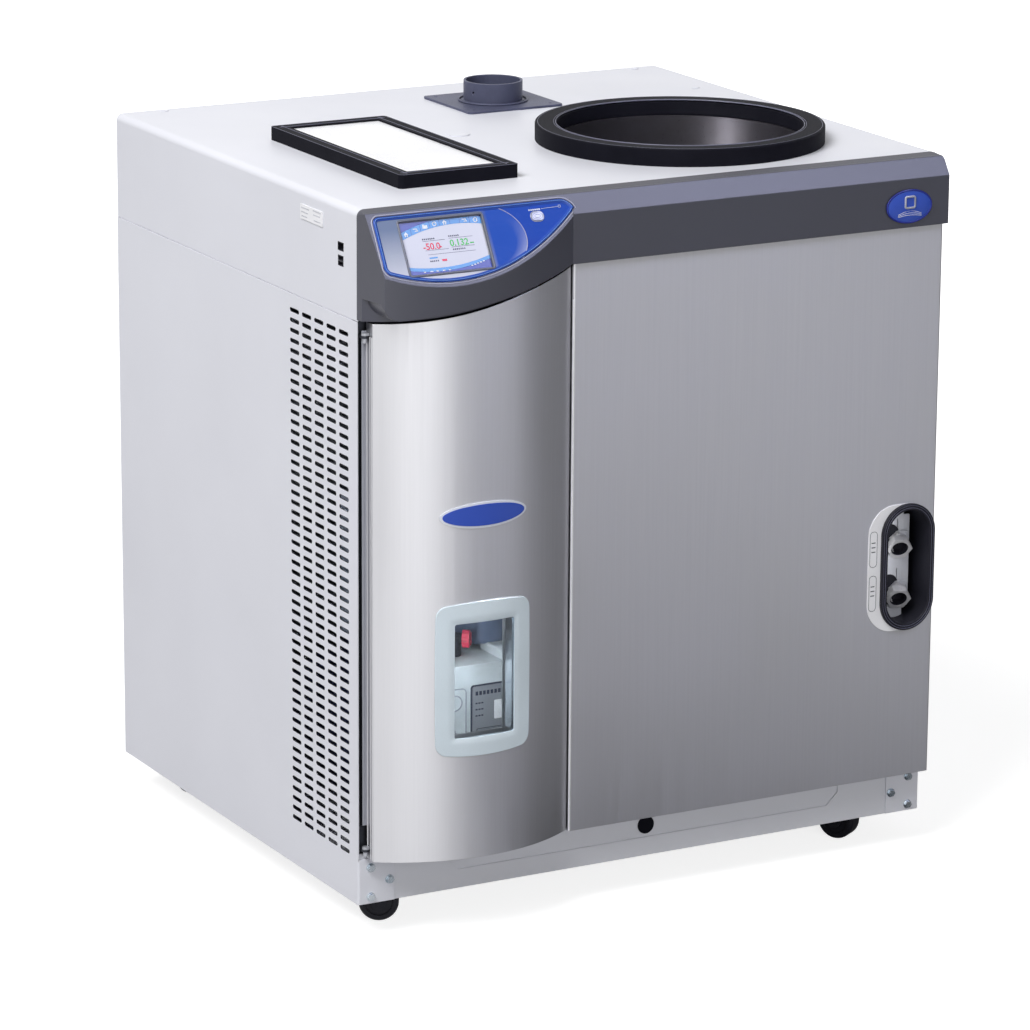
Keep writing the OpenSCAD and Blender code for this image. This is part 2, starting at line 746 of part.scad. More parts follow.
module control_overlay() color("royalblue") difference() {
    overlay_body(part_gap, -overlay_sink, overlay_t - overlay_sink);
    on_screen() translate([0, 0, -10]) linear_extrude(20)
        round_rect(screen_w + 2 * part_gap, screen_h + 2 * part_gap, screen_r + part_gap);
    on_face() translate([button_u, button_v, -10]) linear_extrude(20)
        lying_slot(button_w + 2 * part_gap, button_h + 2 * part_gap);
}
// A slim frame that lines the display's opening
module screen_bezel() color("gray") on_screen() translate([0, 0, -display_depth])
    linear_extrude(display_depth + 0.6) difference() {
        round_rect(screen_w, screen_h, screen_r);
        round_rect(screen_w - 2 * bezel_t, screen_h - 2 * bezel_t, screen_r - bezel_t + 0.5);
    }
module touchscreen() color("white") on_screen() {
    translate([0, 0, -display_depth]) linear_extrude(display_depth - 2.5)
        round_rect(screen_w - 2 * bezel_t - part_gap, screen_h - 2 * bezel_t - part_gap,
            screen_r - bezel_t + 0.7);
}
// The button's cap, its stem and the flange that keeps it in
module power_button() color("silver") on_face() translate([button_u, button_v, 0]) {
    flange = -fascia_t - part_gap;
    translate([0, 0, flange - 1]) linear_extrude(1.2 + 1 - flange) lying_slot(button_w, button_h);
    translate([0, 0, flange - 2]) linear_extrude(2) lying_slot(button_w + 5, button_h + 5);
    translate([0, 0, flange - 8]) cylinder(r = 3, h = 8);
}
badge_w = 66;
badge_h = 42;
module fascia_badge() color("midnightblue") translate([hw - 59, front_y - bar_proud, bar_low_z + 27])
    rotate([90, 0, 0]) linear_extrude(1.6) scale([1, badge_h / badge_w]) circle(badge_w / 2);

// --- Door -------------------------------------------------------------------------------
module door_disc(grow) {
    translate([door_mid, door_cy]) circle(door_r + grow, $fn = 256);
}
// A shell that follows the door's skin, between two distances from its outer face
module door_shell(inner, outer) {
    along_z(door_low_z - 10, bar_low_z + 10) intersection() {
        difference() {
            door_disc(outer);
            door_disc(inner);
        }
        rect([door_left - 20, door_right + 20], [front_y - 90, front_y - door_edge]);
    }
}
// The door from the front, up to a gap below the fascia's skirt
module door_front(gap) {
    difference() {
        rect([door_left, door_right], [door_low_z, bar_low_z]);
        above_skirt(gap);
    }
}
module window_border(grow) {
    w = window_w / 2 + grow;
    h = window_h / 2 + grow;
    bow = arc_radius(2 * h, window_bow);
    translate([window_mid_x, window_mid_z]) difference() {
        intersection() {
            square([2 * (w + window_bow), 2 * h], center = true);
            translate([bow - w - window_bow, 0]) circle(bow, $fn = 360);
            translate([-bow + w + window_bow, 0]) circle(bow, $fn = 360);
        }
        for (a = [0, 1], b = [0, 1]) mirror([a, 0]) mirror([0, b])
            translate([-w, -h]) corner_waste(14);
    }
}
module window_pane(grow) {
    translate([window_mid_x, pane_mid_z]) round_rect(pane_w + 2 * grow, pane_h + 2 * grow, 2);
}
module lug_slots(gap) {
    for (z = lug_z) span([door_left - 1, door_left + door_skin_t + 1],
        [hinge_y - hinge_lug_r - gap, front_y + 1], [z - gap, z + lug_t + gap]);
}
module door_skin() color("silver") difference() {
    intersection() {
        union() {
            door_shell(-door_skin_t, 0);
            for (x = [door_left, door_right - door_skin_t])
                span([x, x + door_skin_t], [front_y - door_edge, door_back], [door_low_z, bar_low_z]);
        }
        along_y(front_y - 90, front_y) door_front(door_gap + 1);
    }
    along_y(front_y - 90, front_y - door_edge) window_pane(part_gap);
    lug_slots(lug_slot);
}
// The folded inner pan: a back with a window, top and bottom webs, and the hinge lugs
module door_liner() color("lightgray") {
    in_l = door_left + door_skin_t;
    in_r = door_right - door_skin_t;
    web_top = seam_z - 8;
    opening = 14;
    difference() {
        union() {
            span([in_l, in_r], [door_back - liner_t, door_back], [door_low_z, web_top]);
            for (z = [door_low_z, web_top - liner_t]) intersection() {
                along_z(z, z + liner_t) intersection() {
                    door_disc(-door_skin_t);
                    rect([in_l, in_r], [front_y - 90, door_back]);
                }
                span([in_l, in_r], [front_y - 90, door_back], [door_low_z, web_top]);
            }
        }
        span([window_mid_x - pane_w / 2 - opening, window_mid_x + pane_w / 2 + opening],
            [front_y - 20, front_y], [pane_mid_z - pane_h / 2 - opening, pane_mid_z + pane_h / 2 + opening]);
    }
    for (z = lug_z) {
        span([hinge_x, in_l + 24], [hinge_y - hinge_lug_r, door_back - liner_t], [z, z + lug_t]);
        translate([hinge_x, hinge_y, z]) cylinder(r = hinge_lug_r, h = lug_t);
        translate([hinge_x, hinge_y, z - 9]) cylinder(r = hinge_pin_r, h = 9 + lug_t);
    }
}
module door_window_frame() color("lightblue") difference() {
    intersection() {
        door_shell(0, 1.6);
        along_y(front_y - 100, front_y) window_border(0);
    }
    along_y(front_y - 100, front_y) window_pane(part_gap);
}
module door_window() color([0.8, 0.9, 0.95, 0.4]) intersection() {
    door_shell(-door_skin_t, 1);
    along_y(front_y - 100, front_y) window_pane(0);
}
module door_badge() color("royalblue") intersection() {
    door_shell(0, 1.6);
    along_y(front_y - 100, front_y) translate([door_mid - 4, badge_mid_z]) lying_slot(104, 24);
}
module door_strike() color("silver")
    span([door_right - 34, door_right - 8], [door_back, door_back + 1.2], [catch_z - 25, catch_z + 25]);
module magnet_catch() color("black")
    span([door_right - 32, door_right - 10], [door_back + 1.2 + part_gap, frame_y],
        [catch_z - 22, catch_z + 22]);
module hinge_brackets() color("black") for (z = lug_z) difference() {
    top = z - part_gap;
    union() {
        span([hinge_x - hinge_lug_r, hinge_x + hinge_lug_r], [hinge_y, frame_y], [top - lug_t, top]);
        translate([hinge_x, hinge_y, top - lug_t]) cylinder(r = hinge_lug_r, h = lug_t);
        span([hinge_x - hinge_lug_r, bay_open[0][0] - 2], [frame_y - 2, frame_y],
            [top - lug_t, top + 27]);
    }
    translate([hinge_x, hinge_y, top - lug_t - 1])
        cylinder(r = hinge_pin_r + running_gap, h = lug_t + 2);
}

// --- Drain recess -----------------------------------------------------------------------
module drain_slot(grow) {
    upright_slot(drain_open_w + 2 * grow, drain_open_h + 2 * grow);
}
// A white label plate that shows to the left of the bezel
module drain_plate() color("white") along_y(panel_y - label_t, panel_y)
    translate([drain_x, drain_z]) difference() {
        union() {
            for (dx = [-drain_label_shift, 0]) translate([dx, 0]) upright_slot(drain_w - 1, drain_h);
            translate([-drain_label_shift / 2, 0])
                square([drain_label_shift, drain_h], center = true);
        }
        drain_slot(drain_tub_t + drain_cut_gap);
    }
// The bezel with its round-ended tub
module drain_housing() color("darkslategray") translate([drain_x, 0, drain_z]) {
    front = panel_y - label_t;
    difference() {
        along_y(front - drain_bezel_t, front) difference() {
            drain_slot(drain_rim);
            drain_slot(0);
        }
        along_y(front - drain_bezel_t - 1, front - drain_bezel_t + 0.8) difference() {
            drain_slot(drain_rim - 2.2);
            drain_slot(drain_rim - 3.2);
        }
    }
    along_y(front, panel_y + drain_depth) difference() {
        drain_slot(drain_tub_t);
        drain_slot(0);
    }
    along_y(panel_y + drain_depth - drain_tub_t, panel_y + drain_depth) difference() {
        drain_slot(drain_tub_t / 2);
        for (s = [-1, 1]) translate([-8, s * fitting_pitch / 2]) circle(7);
    }
}
// Stands a fitting in the recess: +Z is the way its bore looks out
module at_fitting(i) {
    translate([drain_x - 1, panel_y + 14, drain_z - 14 + i * fitting_pitch / 2])
        rotate([0, 0, fitting_yaw]) rotate([90 + fitting_pitch_deg, 0, 0]) children();
}
// A bent sheet bracket with a leaning tab for each fitting
module drain_bracket() color("lightgray") difference() {
    union() {
        intersection() {
            along_y(bracket_y, bracket_y + 1.5) translate([drain_x, drain_z]) difference() {
                drain_slot(-0.2);
                rect([12, 60], [-120, 120]);
                for (s = [-1, 1]) translate([-11, s * fitting_pitch / 2 - 6]) {
                    round_rect(34, 34, 12);
                    translate([14.5, 21]) square([1.4, 16], center = true);
                }
            }
            span([drain_x - 60, drain_x + 12], [bracket_y - 1, bracket_y + 2], [0, 900]);
        }
        along_z(drain_z - 58, drain_z + 58) rect([drain_x + 10.5, drain_x + 12],
            [bracket_y, panel_y + drain_depth - drain_tub_t]);
        for (i = [-1, 1]) at_fitting(i) translate([0, -2, tab_at]) linear_extrude(1.5)
            round_rect(30, 30, 5);
    }
    for (i = [-1, 1]) at_fitting(i) {
        translate([0, 0, -40]) cylinder(r = 7.5 + running_gap, h = 50);
        translate([0, 0, tab_at + 1.5]) cylinder(r = fitting_af / sqrt(3) + part_gap, h = 30);
    }
}
module drain_fitting() {
    difference() {
        union() {
            translate([0, 0, -9]) cylinder(r = fitting_af / sqrt(3), h = 9, $fn = 6);
            translate([0, 0, -15]) cylinder(r = 12.4, h = 8);
            translate([0, 0, tab_at + 1.5]) rotate(30) cylinder(r = back_nut_af / sqrt(3), h = 6, $fn = 6);
            translate([0, 0, tab_at - 9]) cylinder(r = 7.5, h = 12);
        }
        translate([0, 0, -13]) cylinder(r = drain_bore_r, h = 14);
        translate([0, 0, tab_at - 10]) cylinder(r = 5, h = 30);
    }
}
module collector_drain_fitting() color("silver") at_fitting(1) drain_fitting();
module vacuum_drain_fitting() color("silver") at_fitting(-1) drain_fitting();
// Short tails that lead from the fittings through the back of the recess
module drain_tubes() color("black") for (s = [-1, 1])
    translate([drain_x - 8, panel_y + drain_depth - drain_tub_t - 3, drain_z + s * fitting_pitch / 2])
        rotate([-90, 0, 0]) difference() {
            cylinder(r = 7 - running_gap, h = 40);
            translate([0, 0, -1]) cylinder(r = 4, h = 42);
        }

// --- Collector --------------------------------------------------------------------------
module at_ring() {
    translate([ring_x, ring_y, cabinet_h]) children();
}
// The rubber ring that a drying chamber or a manifold stands on
module sealing_ring() color("black") at_ring() rotate_extrude($fn = 180) difference() {
    union() {
        rect([ring_bore_r, ring_r - 2], [0, ring_h]);
        rect([ring_r - 3, ring_r], [0, ring_h - 2]);
        translate([ring_r - 2, ring_h - 2]) circle(2);
    }
    rect([0, ring_bore_r + 4], [ring_h - 3, ring_h + 1]);
    rect([0, chamber_r + rim_w + part_gap], [-1, rim_t]);
}
module collector_chamber() color("darkslategray") at_ring() difference() {
    union() {
        translate([0, 0, -chamber_depth]) cylinder(r = chamber_out, h = chamber_depth + rim_t, $fn = 180);
        cylinder(r = chamber_r + rim_w, h = rim_t, $fn = 180);
        translate([0, 0, -chamber_depth - 20]) cylinder(r = outlet_r + 2, h = 21);
    }
    translate([0, 0, -chamber_depth + chamber_t]) cylinder(r = chamber_r, h = chamber_depth + 10, $fn = 180);
    translate([0, 0, -chamber_depth - 21]) cylinder(r = outlet_r, h = 30);
}
// Turns of copper tube round the chamber, joined by a header
module evaporator_coil() color("peru") at_ring() {
    for (i = [0:coil_turns - 1]) translate([0, 0, -chamber_depth + 15 + i * coil_pitch])
        rotate_extrude($fn = 96) translate([coil_r, 0]) circle(coil_tube_r);
    translate([0, coil_r, -chamber_depth + 15]) cylinder(r = 3, h = (coil_turns - 1) * coil_pitch);
}
module chamber_insulation() color("khaki") difference() {
    at_ring() difference() {
        translate([0, 0, -chamber_depth - 12])
            cylinder(r = jacket_r, h = chamber_depth + 12 - sheet_t, $fn = 120);
        translate([0, 0, -chamber_depth - part_gap])
            cylinder(r = jacket_in, h = chamber_depth + 20, $fn = 120);
        translate([0, 0, -chamber_depth - 20]) cylinder(r = outlet_r + 2 + part_gap, h = 30);
    }
    at_line() rotate([0, 90, 0]) cylinder(r = line_hole_r, h = line_reach - chamber_r);
}

// --- Things on the cover ----------------------------------------------------------------
module port_flange() color("slategray") translate([port_x, port_y, cabinet_h]) difference() {
    union() {
        linear_extrude(port_base_t) round_rect(port_base_w, port_base_w - 6, 6);
        cylinder(r = port_r, h = port_h);
        translate([0, 0, port_base_t]) cylinder(r = port_r + 2, h = 1);
    }
    translate([0, 0, -1]) cylinder(r = port_r - port_wall, h = port_h + 2);
    for (x = [-1, 1], y = [-1, 1])
        translate([x * (port_base_w / 2 - 13), y * (port_base_w / 2 - 16), -1]) cylinder(r = 2.2, h = 6);
    translate([0, 0, port_h - 13]) rotate([0, -90, 20]) cylinder(r = 2, h = port_r + 5);
}
module pad_frame() color("black") translate([pad_x, pad_y, cabinet_h]) {
    linear_extrude(pad_h) difference() {
        round_rect(pad_w, pad_l, 6);
        square([pad_w - 2 * pad_rim, pad_l - 2 * pad_rim], center = true);
    }
    linear_extrude(pad_h - pad_step - insert_t) difference() {
        square([pad_w - 2 * pad_rim + 2, pad_l - 2 * pad_rim + 2], center = true);
        square([pad_w - 2 * pad_rim - 2 * pad_ledge, pad_l - 2 * pad_rim - 2 * pad_ledge], center = true);
    }
}
module pad_insert() color("white")
    translate([pad_x, pad_y, cabinet_h + pad_h - pad_step - insert_t]) linear_extrude(insert_t)
        square([pad_w - 2 * pad_rim - part_gap, pad_l - 2 * pad_rim - part_gap], center = true);
module top_plugs() color("white") for (p = plugs) translate([p[0], p[1], cabinet_h]) {
    cylinder(r = p[2], h = 1);
    translate([0, 0, -3]) cylinder(r = p[2] - 2 - running_gap, h = 4);
}

// Each data port: centre in Y and Z, then its width and height
data_ports_at = [[43, -52, 14, 9], [43, -66, 13, 5], [43, -72.5, 13, 4.6]];
module data_port_places() {
    for (p = data_ports_at) translate([front_y + p[0], cabinet_h + p[1]]) {
        $port = p;
        children();
    }
}
module data_port_body(gap) {
    square([$port[2] + 1 + 2 * gap, $port[3] + 1 + 2 * gap], center = true);
}
// Sockets behind the cover's left side, on a small board
module data_ports() color("black") {
    depth = 14;
    difference() {
        union() {
            along_x(-cover_hw - 0.2, -cover_hw + depth) data_port_places() data_port_body(0);
            span([-cover_hw + depth, -cover_hw + depth + 2],
                [front_y + 30, front_y + 56], [cabinet_h - 80, cabinet_h - 42]);
            span([-cover_in, -cover_hw + depth + 1],
                [front_y + 30, front_y + 33], [cabinet_h - 80, cabinet_h - 42]);
        }
        along_x(-cover_hw - 1, -cover_hw + depth - 3) data_port_places()
            square([$port[2] - 1, $port[3] - 0.4], center = true);
    }
    along_x(-cover_hw + 6, -cover_hw + depth) translate([front_y + 43, cabinet_h - 52]) circle(1.5);
}
// A three-pin mains inlet in the rear panel
module power_inlet() color("black") translate([inlet_at[0], back_y, inlet_at[1]]) {
    difference() {
        union() {
            along_y(0, rear_stand) round_rect(inlet_w, inlet_h, 3);
            along_y(-22, 0) round_rect(inlet_w - 6, inlet_h - 4, 3);
        }
        along_y(-17, rear_stand + 1) difference() {
            round_rect(26, 18, 2);
            for (p = [[-7, -2], [0, 3], [7, -2]]) translate(p) square([2, 4], center = true);
        }
        along_y(-1, rear_stand + 1) for (p = [[-7, -2], [0, 3], [7, -2]])
            translate(p) square([2.2, 4.2], center = true);
    }
}

// --- Pump bay ---------------------------------------------------------------------------
module bay_liner() color("lightgray") difference() {
    union() {
        span([bay_wall_x, bay_wall_x + sheet_t], [frame_back, bay_back], [pan_top, bay_top]);
        span([-sheet_in + sheet_t, bay_wall_x], [bay_back - sheet_t, bay_back], [pan_top, bay_top]);
        span([-sheet_in + sheet_t, bay_wall_x + sheet_t], [frame_back, bay_back],
            [bay_top - sheet_t, bay_top]);
    }
    translate([line_at[0], line_at[1], bay_top - 5]) cylinder(r = line_hole_r, h = 10);
}
module pump_case() color("lightgray") {
    x = [pump_x - pump_case_w / 2, pump_x + pump_case_w / 2];
    difference() {
        union() {
            along_z(pump_z, pump_top) translate([pump_x, pump_y + pump_case_l / 2])
                round_rect(pump_case_w, pump_case_l, 10);
            // sight glass ring and filler cap
            translate([x[0] + 26, pump_y, pump_z + 60]) rotate([90, 0, 0]) cylinder(r = 14, h = 3);
            translate([x[0] + 34, pump_y + 30, pump_top]) cylinder(r = 15, h = 14);
            // base plate with its feet
            span([x[0] + 8, x[1] - 8], [pump_y + 10, pump_y + pump_case_l + motor_l],
                [pump_z - 10, pump_z + 1]);
            for (u = [x[0] + 28, x[1] - 28], v = [pump_y + 30, pump_y + pump_case_l + motor_l - 30])
                translate([u, v, pan_top]) cylinder(r = 11, h = pump_z - 10 - pan_top);
        }
        translate([x[0] + 26, pump_y + 2, pump_z + 60]) rotate([90, 0, 0]) cylinder(r = 10, h = 10);
        translate([knob_at[0], knob_at[1], pump_top - 12]) cylinder(r = 8, h = 20);
        translate([filter_at[0], filter_at[1], pump_top - 8]) cylinder(r = 14, h = 20);
    }
}
// Motor with cooling fins, its foot and its terminal box
module pump_motor() color("midnightblue") {
    y0 = pump_y + pump_case_l;
    translate([pump_x, y0, motor_z]) rotate([-90, 0, 0]) {
        cylinder(r = motor_r - 6, h = motor_l);
        for (i = [0:6]) translate([0, 0, 30 + i * 26]) cylinder(r = motor_r, h = 8);
    }
    span([pump_x - 40, pump_x + 40], [y0 + 30, y0 + 180], [pump_z + 1, motor_z - motor_r + 10]);
    span([pump_x - 30, pump_x + 30], [y0 + 60, y0 + 150], [motor_z + motor_r - 14, motor_z + motor_r + 36]);
}
// Dark canister that catches oil mist, on the pump's outlet
module mist_filter() color("darkslateblue") translate([filter_at[0], filter_at[1], pump_top]) {
    translate([0, 0, -7]) cylinder(r = 14 - running_gap, h = 20);
    rotate_extrude($fn = 120) {
        rect([0, filter_r - 6], [8, filter_h]);
        rect([0, filter_r], [14, filter_h - 6]);
        translate([filter_r - 6, 14]) circle(6);
        translate([filter_r - 6, filter_h - 6]) circle(6);
    }
    translate([0, 0, filter_h - 1]) cylinder(r = 16, h = 11);
}
// The gas ballast valve's elbow stays with the pump; its red knob turns
module at_knob() {
    translate([knob_at[0], knob_at[1], knob_z]) rotate([0, 0, knob_turn]) rotate([0, 90, 0]) children();
}
module ballast_knob() color("crimson") at_knob() difference() {
    union() {
        translate([0, 0, 10]) cylinder(r = 11, h = 9);
        translate([0, 0, 19]) linear_extrude(2) square([16, 3], center = true);
    }
    for (a = [0:30:330]) rotate(a) translate([12, 0, 8]) cylinder(r = 1.6, h = 13);
    translate([0, 0, 9]) cylinder(r = 3 + running_gap, h = 7);
}
// Pump inlet, elbow and pipe to the collector chamber
module vacuum_line() color("black") {
    // ballast elbow
    translate([knob_at[0], knob_at[1], pump_top - 11])
        cylinder(r = 8 - running_gap, h = knob_z - pump_top + 11);
    translate([knob_at[0], knob_at[1], knob_z]) sphere(r = 8 - running_gap);
    at_knob() cylinder(r = 7, h = 10 - part_gap);
    at_knob() cylinder(r = 3, h = 15);
    at_knob() translate([0, 0, -30]) cylinder(r = 6, h = 30);
    // the pipe itself, up from the pump and across to the chamber
    translate([line_at[0], line_at[1], pump_top]) cylinder(r = line_r, h = line_z - bend_r - pump_top);
    at_line() translate([bend_r, 0, -bend_r]) rotate([90, 0, 0]) rotate(90)
        rotate_extrude(angle = 90) translate([bend_r, 0]) circle(line_r);
    at_line() rotate([0, 90, 0]) translate([0, 0, bend_r])
        cylinder(r = line_r, h = line_reach - chamber_out - part_gap - bend_r);
}
// Stands things at the top of the riser: +X runs level towards the chamber's centre
module at_line() {
    translate([line_at[0], line_at[1], line_z]) rotate(line_turn) children();
}
line_reach = norm([ring_x - line_at[0], ring_y - line_at[1]]);
line_hole_r = line_r + 2;

// --- Refrigeration ----------------------------------------------------------------------
module compressor() color("black") translate([comp_at[0], comp_at[1], pan_top]) {
    for (a = [45:90:315]) rotate(a) translate([comp_r - 10, 0, 0]) cylinder(r = 14, h = 14);
    translate([0, 0, 14]) cylinder(r = comp_r + 6, h = 4);
    dome = 50;
    dome_r = arc_radius(2 * comp_r, dome);
    translate([0, 0, 18]) cylinder(r = comp_r, h = comp_h - dome - 8);
    translate([0, 0, 18]) intersection() {
        translate([0, 0, comp_h - dome - 16]) cylinder(r = comp_r, h = dome + 13);
        translate([0, 0, comp_h - dome_r]) sphere(r = dome_r);
    }
    translate([-comp_r - 12, -26, 60]) cube([24, 52, 60]);
}
module condenser() color("lightgray") {
    x = [fan_x - condenser_w / 2, fan_x + condenser_w / 2];
    z = [pan_top, pan_top + condenser_h + 70];
    for (s = x) span([s - 1, s + 1], [condenser_y, shroud_y], z);
    span(x, [condenser_y + 2, shroud_y - 2], [z[0] + 1, z[1] - 4]);
    for (j = [0:10], k = [0, 1])
        translate([x[0] - 6, condenser_y + 12 + 20 * k, z[0] + 30 + j * 28])
            rotate([0, 90, 0]) cylinder(r = 4.5, h = condenser_w + 12);
}
module fan_shroud() color("dimgray") {
    x = [fan_x - condenser_w / 2, fan_x + condenser_w / 2];
    z = [pan_top, pan_top + condenser_h + 70];
    difference() {
        union() {
            span(x, [shroud_y, shroud_y + 1.5], z);
            translate([fan_x, shroud_y, fan_z]) rotate([-90, 0, 0]) cylinder(r = fan_r + 3, h = shroud_d);
        }
        translate([fan_x, shroud_y - 1, fan_z]) rotate([-90, 0, 0]) cylinder(r = fan_r, h = shroud_d + 2);
    }
}
module fan_motor() color("black") translate([fan_x, 0, fan_z]) {
    back = shroud_y + shroud_d;
    // three arms from the shroud's rim carry the motor
    translate([0, back, 0]) rotate([-90, 0, 0]) {
        for (a = [90:120:330]) rotate(a) translate([0, -6, 0]) cube([fan_r + 3, 12, 2]);
        cylinder(r = 36, h = 30);
        translate([0, 0, -24]) cylinder(r = shaft_r, h = 26);
    }
}
module fan_blade() color("silver") translate([fan_x, shroud_y + shroud_d - 20, fan_z]) rotate([-90, 0, 0])
    difference() {
        union() {
            translate([0, 0, -8]) cylinder(r = 22, h = 20);
            for (i = [0:blade_count - 1]) rotate(i * 360 / blade_count) rotate([blade_pitch, 0, 0])
                translate([18, -26, -0.8]) cube([fan_r - 28, 52, 1.6]);
        }
        translate([0, 0, -9]) cylinder(r = shaft_r + running_gap, h = 23);
    }

// --- Casters ----------------------------------------------------------------------------
module at_caster(c) {
    translate([c[0], c[1], 0]) rotate(c[2]) children();
}
fork_top = pan_z - plate_t - race_t - part_gap;
crown_z = fork_top - crown_h;
// Mounting plates with their races and king pins
module caster_plates() color("black")
    for (c = [caster_fl, caster_fr, caster_rl, caster_rr]) translate([c[0], c[1], 0]) {
        translate([0, 0, pan_z - plate_t]) linear_extrude(plate_t) round_rect(64, 56, 4);
        translate([0, 0, pan_z - plate_t - race_t]) cylinder(r = 20, h = race_t + 1);
        translate([0, 0, crown_z - part_gap]) cylinder(r = king_r, h = fork_top + 1 - crown_z + 1);
        translate([0, 0, crown_z - part_gap - 1.6]) cylinder(r = king_r + 2, h = 1.6);
    }
// Swivelling fork with its axle
module caster_fork(c) {
    leg_y = wheel_w / 2 + fork_gap;
    color("black") at_caster(c) {
        difference() {
            union() {
                translate([0, 0, crown_z]) cylinder(r = 15, h = fork_top - crown_z);
                translate([caster_trail / 2, 0, crown_z]) linear_extrude(crown_t)
                    round_rect(caster_trail + 30, 2 * (leg_y + leg_t), 5);
            }
            translate([0, 0, crown_z - 1]) cylinder(r = king_r + running_gap, h = 20);
        }
        for (s = [-1, 1]) along_y(s * (leg_y + leg_t / 2) - leg_t / 2, s * (leg_y + leg_t / 2) + leg_t / 2) {
            polygon([[caster_trail - 9, wheel_r], [caster_trail + 9, wheel_r],
                [caster_trail + 15, crown_z + crown_t], [-11, crown_z + crown_t]]);
            translate([caster_trail, wheel_r]) circle(9);
        }
        along_y(-leg_y - leg_t - 2, leg_y + leg_t + 2) translate([caster_trail, wheel_r]) circle(axle_r);
    }
}
// Wheel with round shoulders and a dished hub
module caster_wheel(c) {
    w = wheel_w / 2;
    shoulder = 5;
    color("black") at_caster(c) translate([caster_trail, 0, wheel_r]) rotate([90, 0, 0])
        rotate_extrude($fn = 96) difference() {
            union() {
                rect([axle_r + running_gap, wheel_r], [-w + shoulder, w - shoulder]);
                rect([axle_r + running_gap, wheel_r - shoulder], [-w, w]);
                for (s = [-1, 1]) translate([wheel_r - shoulder, s * (w - shoulder)]) circle(shoulder);
            }
            for (s = [-1, 1]) translate([13, s * w]) square([9, 5], center = true);
            rect([0, axle_r + running_gap], [-w - 1, w + 1]);
        }
}
module caster_fork_fl() caster_fork(caster_fl);
module caster_fork_fr() caster_fork(caster_fr);
module caster_fork_rl() caster_fork(caster_rl);
module caster_fork_rr() caster_fork(caster_rr);
module caster_wheel_fl() caster_wheel(caster_fl);
module caster_wheel_fr() caster_wheel(caster_fr);
module caster_wheel_rl() caster_wheel(caster_rl);
module caster_wheel_rr() caster_wheel(caster_rr);

base_pan();
front_apron();
left_side_panel();
right_side_panel();
rear_panel();
top_cover();
front_frame();
front_panel();
base_screws();
base_grommet();
fascia();
control_overlay();
screen_bezel();
touchscreen();
power_button();
fascia_badge();
door_skin();
door_liner();
door_window_frame();
door_window();
door_badge();
door_strike();
hinge_brackets();
magnet_catch();
drain_plate();
drain_housing();
drain_bracket();
collector_drain_fitting();
vacuum_drain_fitting();
drain_tubes();
sealing_ring();
collector_chamber();
evaporator_coil();
chamber_insulation();
port_flange();
pad_frame();
pad_insert();
top_plugs();
data_ports();
power_inlet();
bay_liner();
pump_case();
pump_motor();
mist_filter();
ballast_knob();
vacuum_line();
compressor();
condenser();
fan_shroud();
fan_motor();
fan_blade();
caster_plates();
caster_fork_fl();
caster_fork_fr();
caster_fork_rl();
caster_fork_rr();
caster_wheel_fl();
caster_wheel_fr();
caster_wheel_rl();
caster_wheel_rr();
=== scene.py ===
"""Freeze dryer cabinet: finishes, detail pieces, studio, camera. Metres, in the frame's own axes."""
import json
import math

import bmesh
import bpy
from mathutils import Matrix, Vector


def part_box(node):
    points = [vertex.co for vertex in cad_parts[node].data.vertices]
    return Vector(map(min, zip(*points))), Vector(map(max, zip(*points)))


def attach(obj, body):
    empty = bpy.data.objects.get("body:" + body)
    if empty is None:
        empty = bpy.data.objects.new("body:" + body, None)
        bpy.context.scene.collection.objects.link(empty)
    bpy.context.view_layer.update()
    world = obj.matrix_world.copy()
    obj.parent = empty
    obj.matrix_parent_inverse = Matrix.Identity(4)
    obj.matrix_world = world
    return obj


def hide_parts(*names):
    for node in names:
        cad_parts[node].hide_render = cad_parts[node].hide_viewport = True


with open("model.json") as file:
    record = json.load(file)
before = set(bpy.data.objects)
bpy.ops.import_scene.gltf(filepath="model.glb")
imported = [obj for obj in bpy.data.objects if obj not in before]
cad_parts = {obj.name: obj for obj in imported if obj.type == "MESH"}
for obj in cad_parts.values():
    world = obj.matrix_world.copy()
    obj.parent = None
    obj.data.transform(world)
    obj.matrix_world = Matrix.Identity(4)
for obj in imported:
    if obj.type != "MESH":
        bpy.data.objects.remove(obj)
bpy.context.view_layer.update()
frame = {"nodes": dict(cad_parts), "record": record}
NODES = frame["nodes"]
UP = Vector((0, 0, 1))


def box(name):
    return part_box(name)


def mid(name):
    lo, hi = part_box(name)
    return (lo + hi) / 2


def add(name, data):
    """A new object with this data, in the scene."""
    obj = bpy.data.objects.new(name, data)
    bpy.context.scene.collection.objects.link(obj)
    return obj


# ---- Camera: low telephoto view from the front left
CAM_AT = Vector((-2.9562, -5.3831, 2.0730))
CAM_YAW, CAM_PITCH, CAM_ROLL = (math.radians(a) for a in (28.609, -15.122, 0.36))
CAM_LENS = 173.3


def make_camera():
    data = bpy.data.cameras.new("camera")
    data.sensor_width, data.lens = 36, CAM_LENS
    cam = add("camera", data)
    ahead = Vector((math.sin(CAM_YAW) * math.cos(CAM_PITCH),
                    math.cos(CAM_YAW) * math.cos(CAM_PITCH), math.sin(CAM_PITCH)))
    level = Vector((math.cos(CAM_YAW), -math.sin(CAM_YAW), 0))
    rise = level.cross(ahead)
    right = level * math.cos(CAM_ROLL) + rise * math.sin(CAM_ROLL)
    top = rise * math.cos(CAM_ROLL) - level * math.sin(CAM_ROLL)
    turn = Matrix((right, top, -ahead)).transposed()
    cam.matrix_world = Matrix.Translation(CAM_AT) @ turn.to_4x4()
    bpy.context.scene.camera = cam


make_camera()


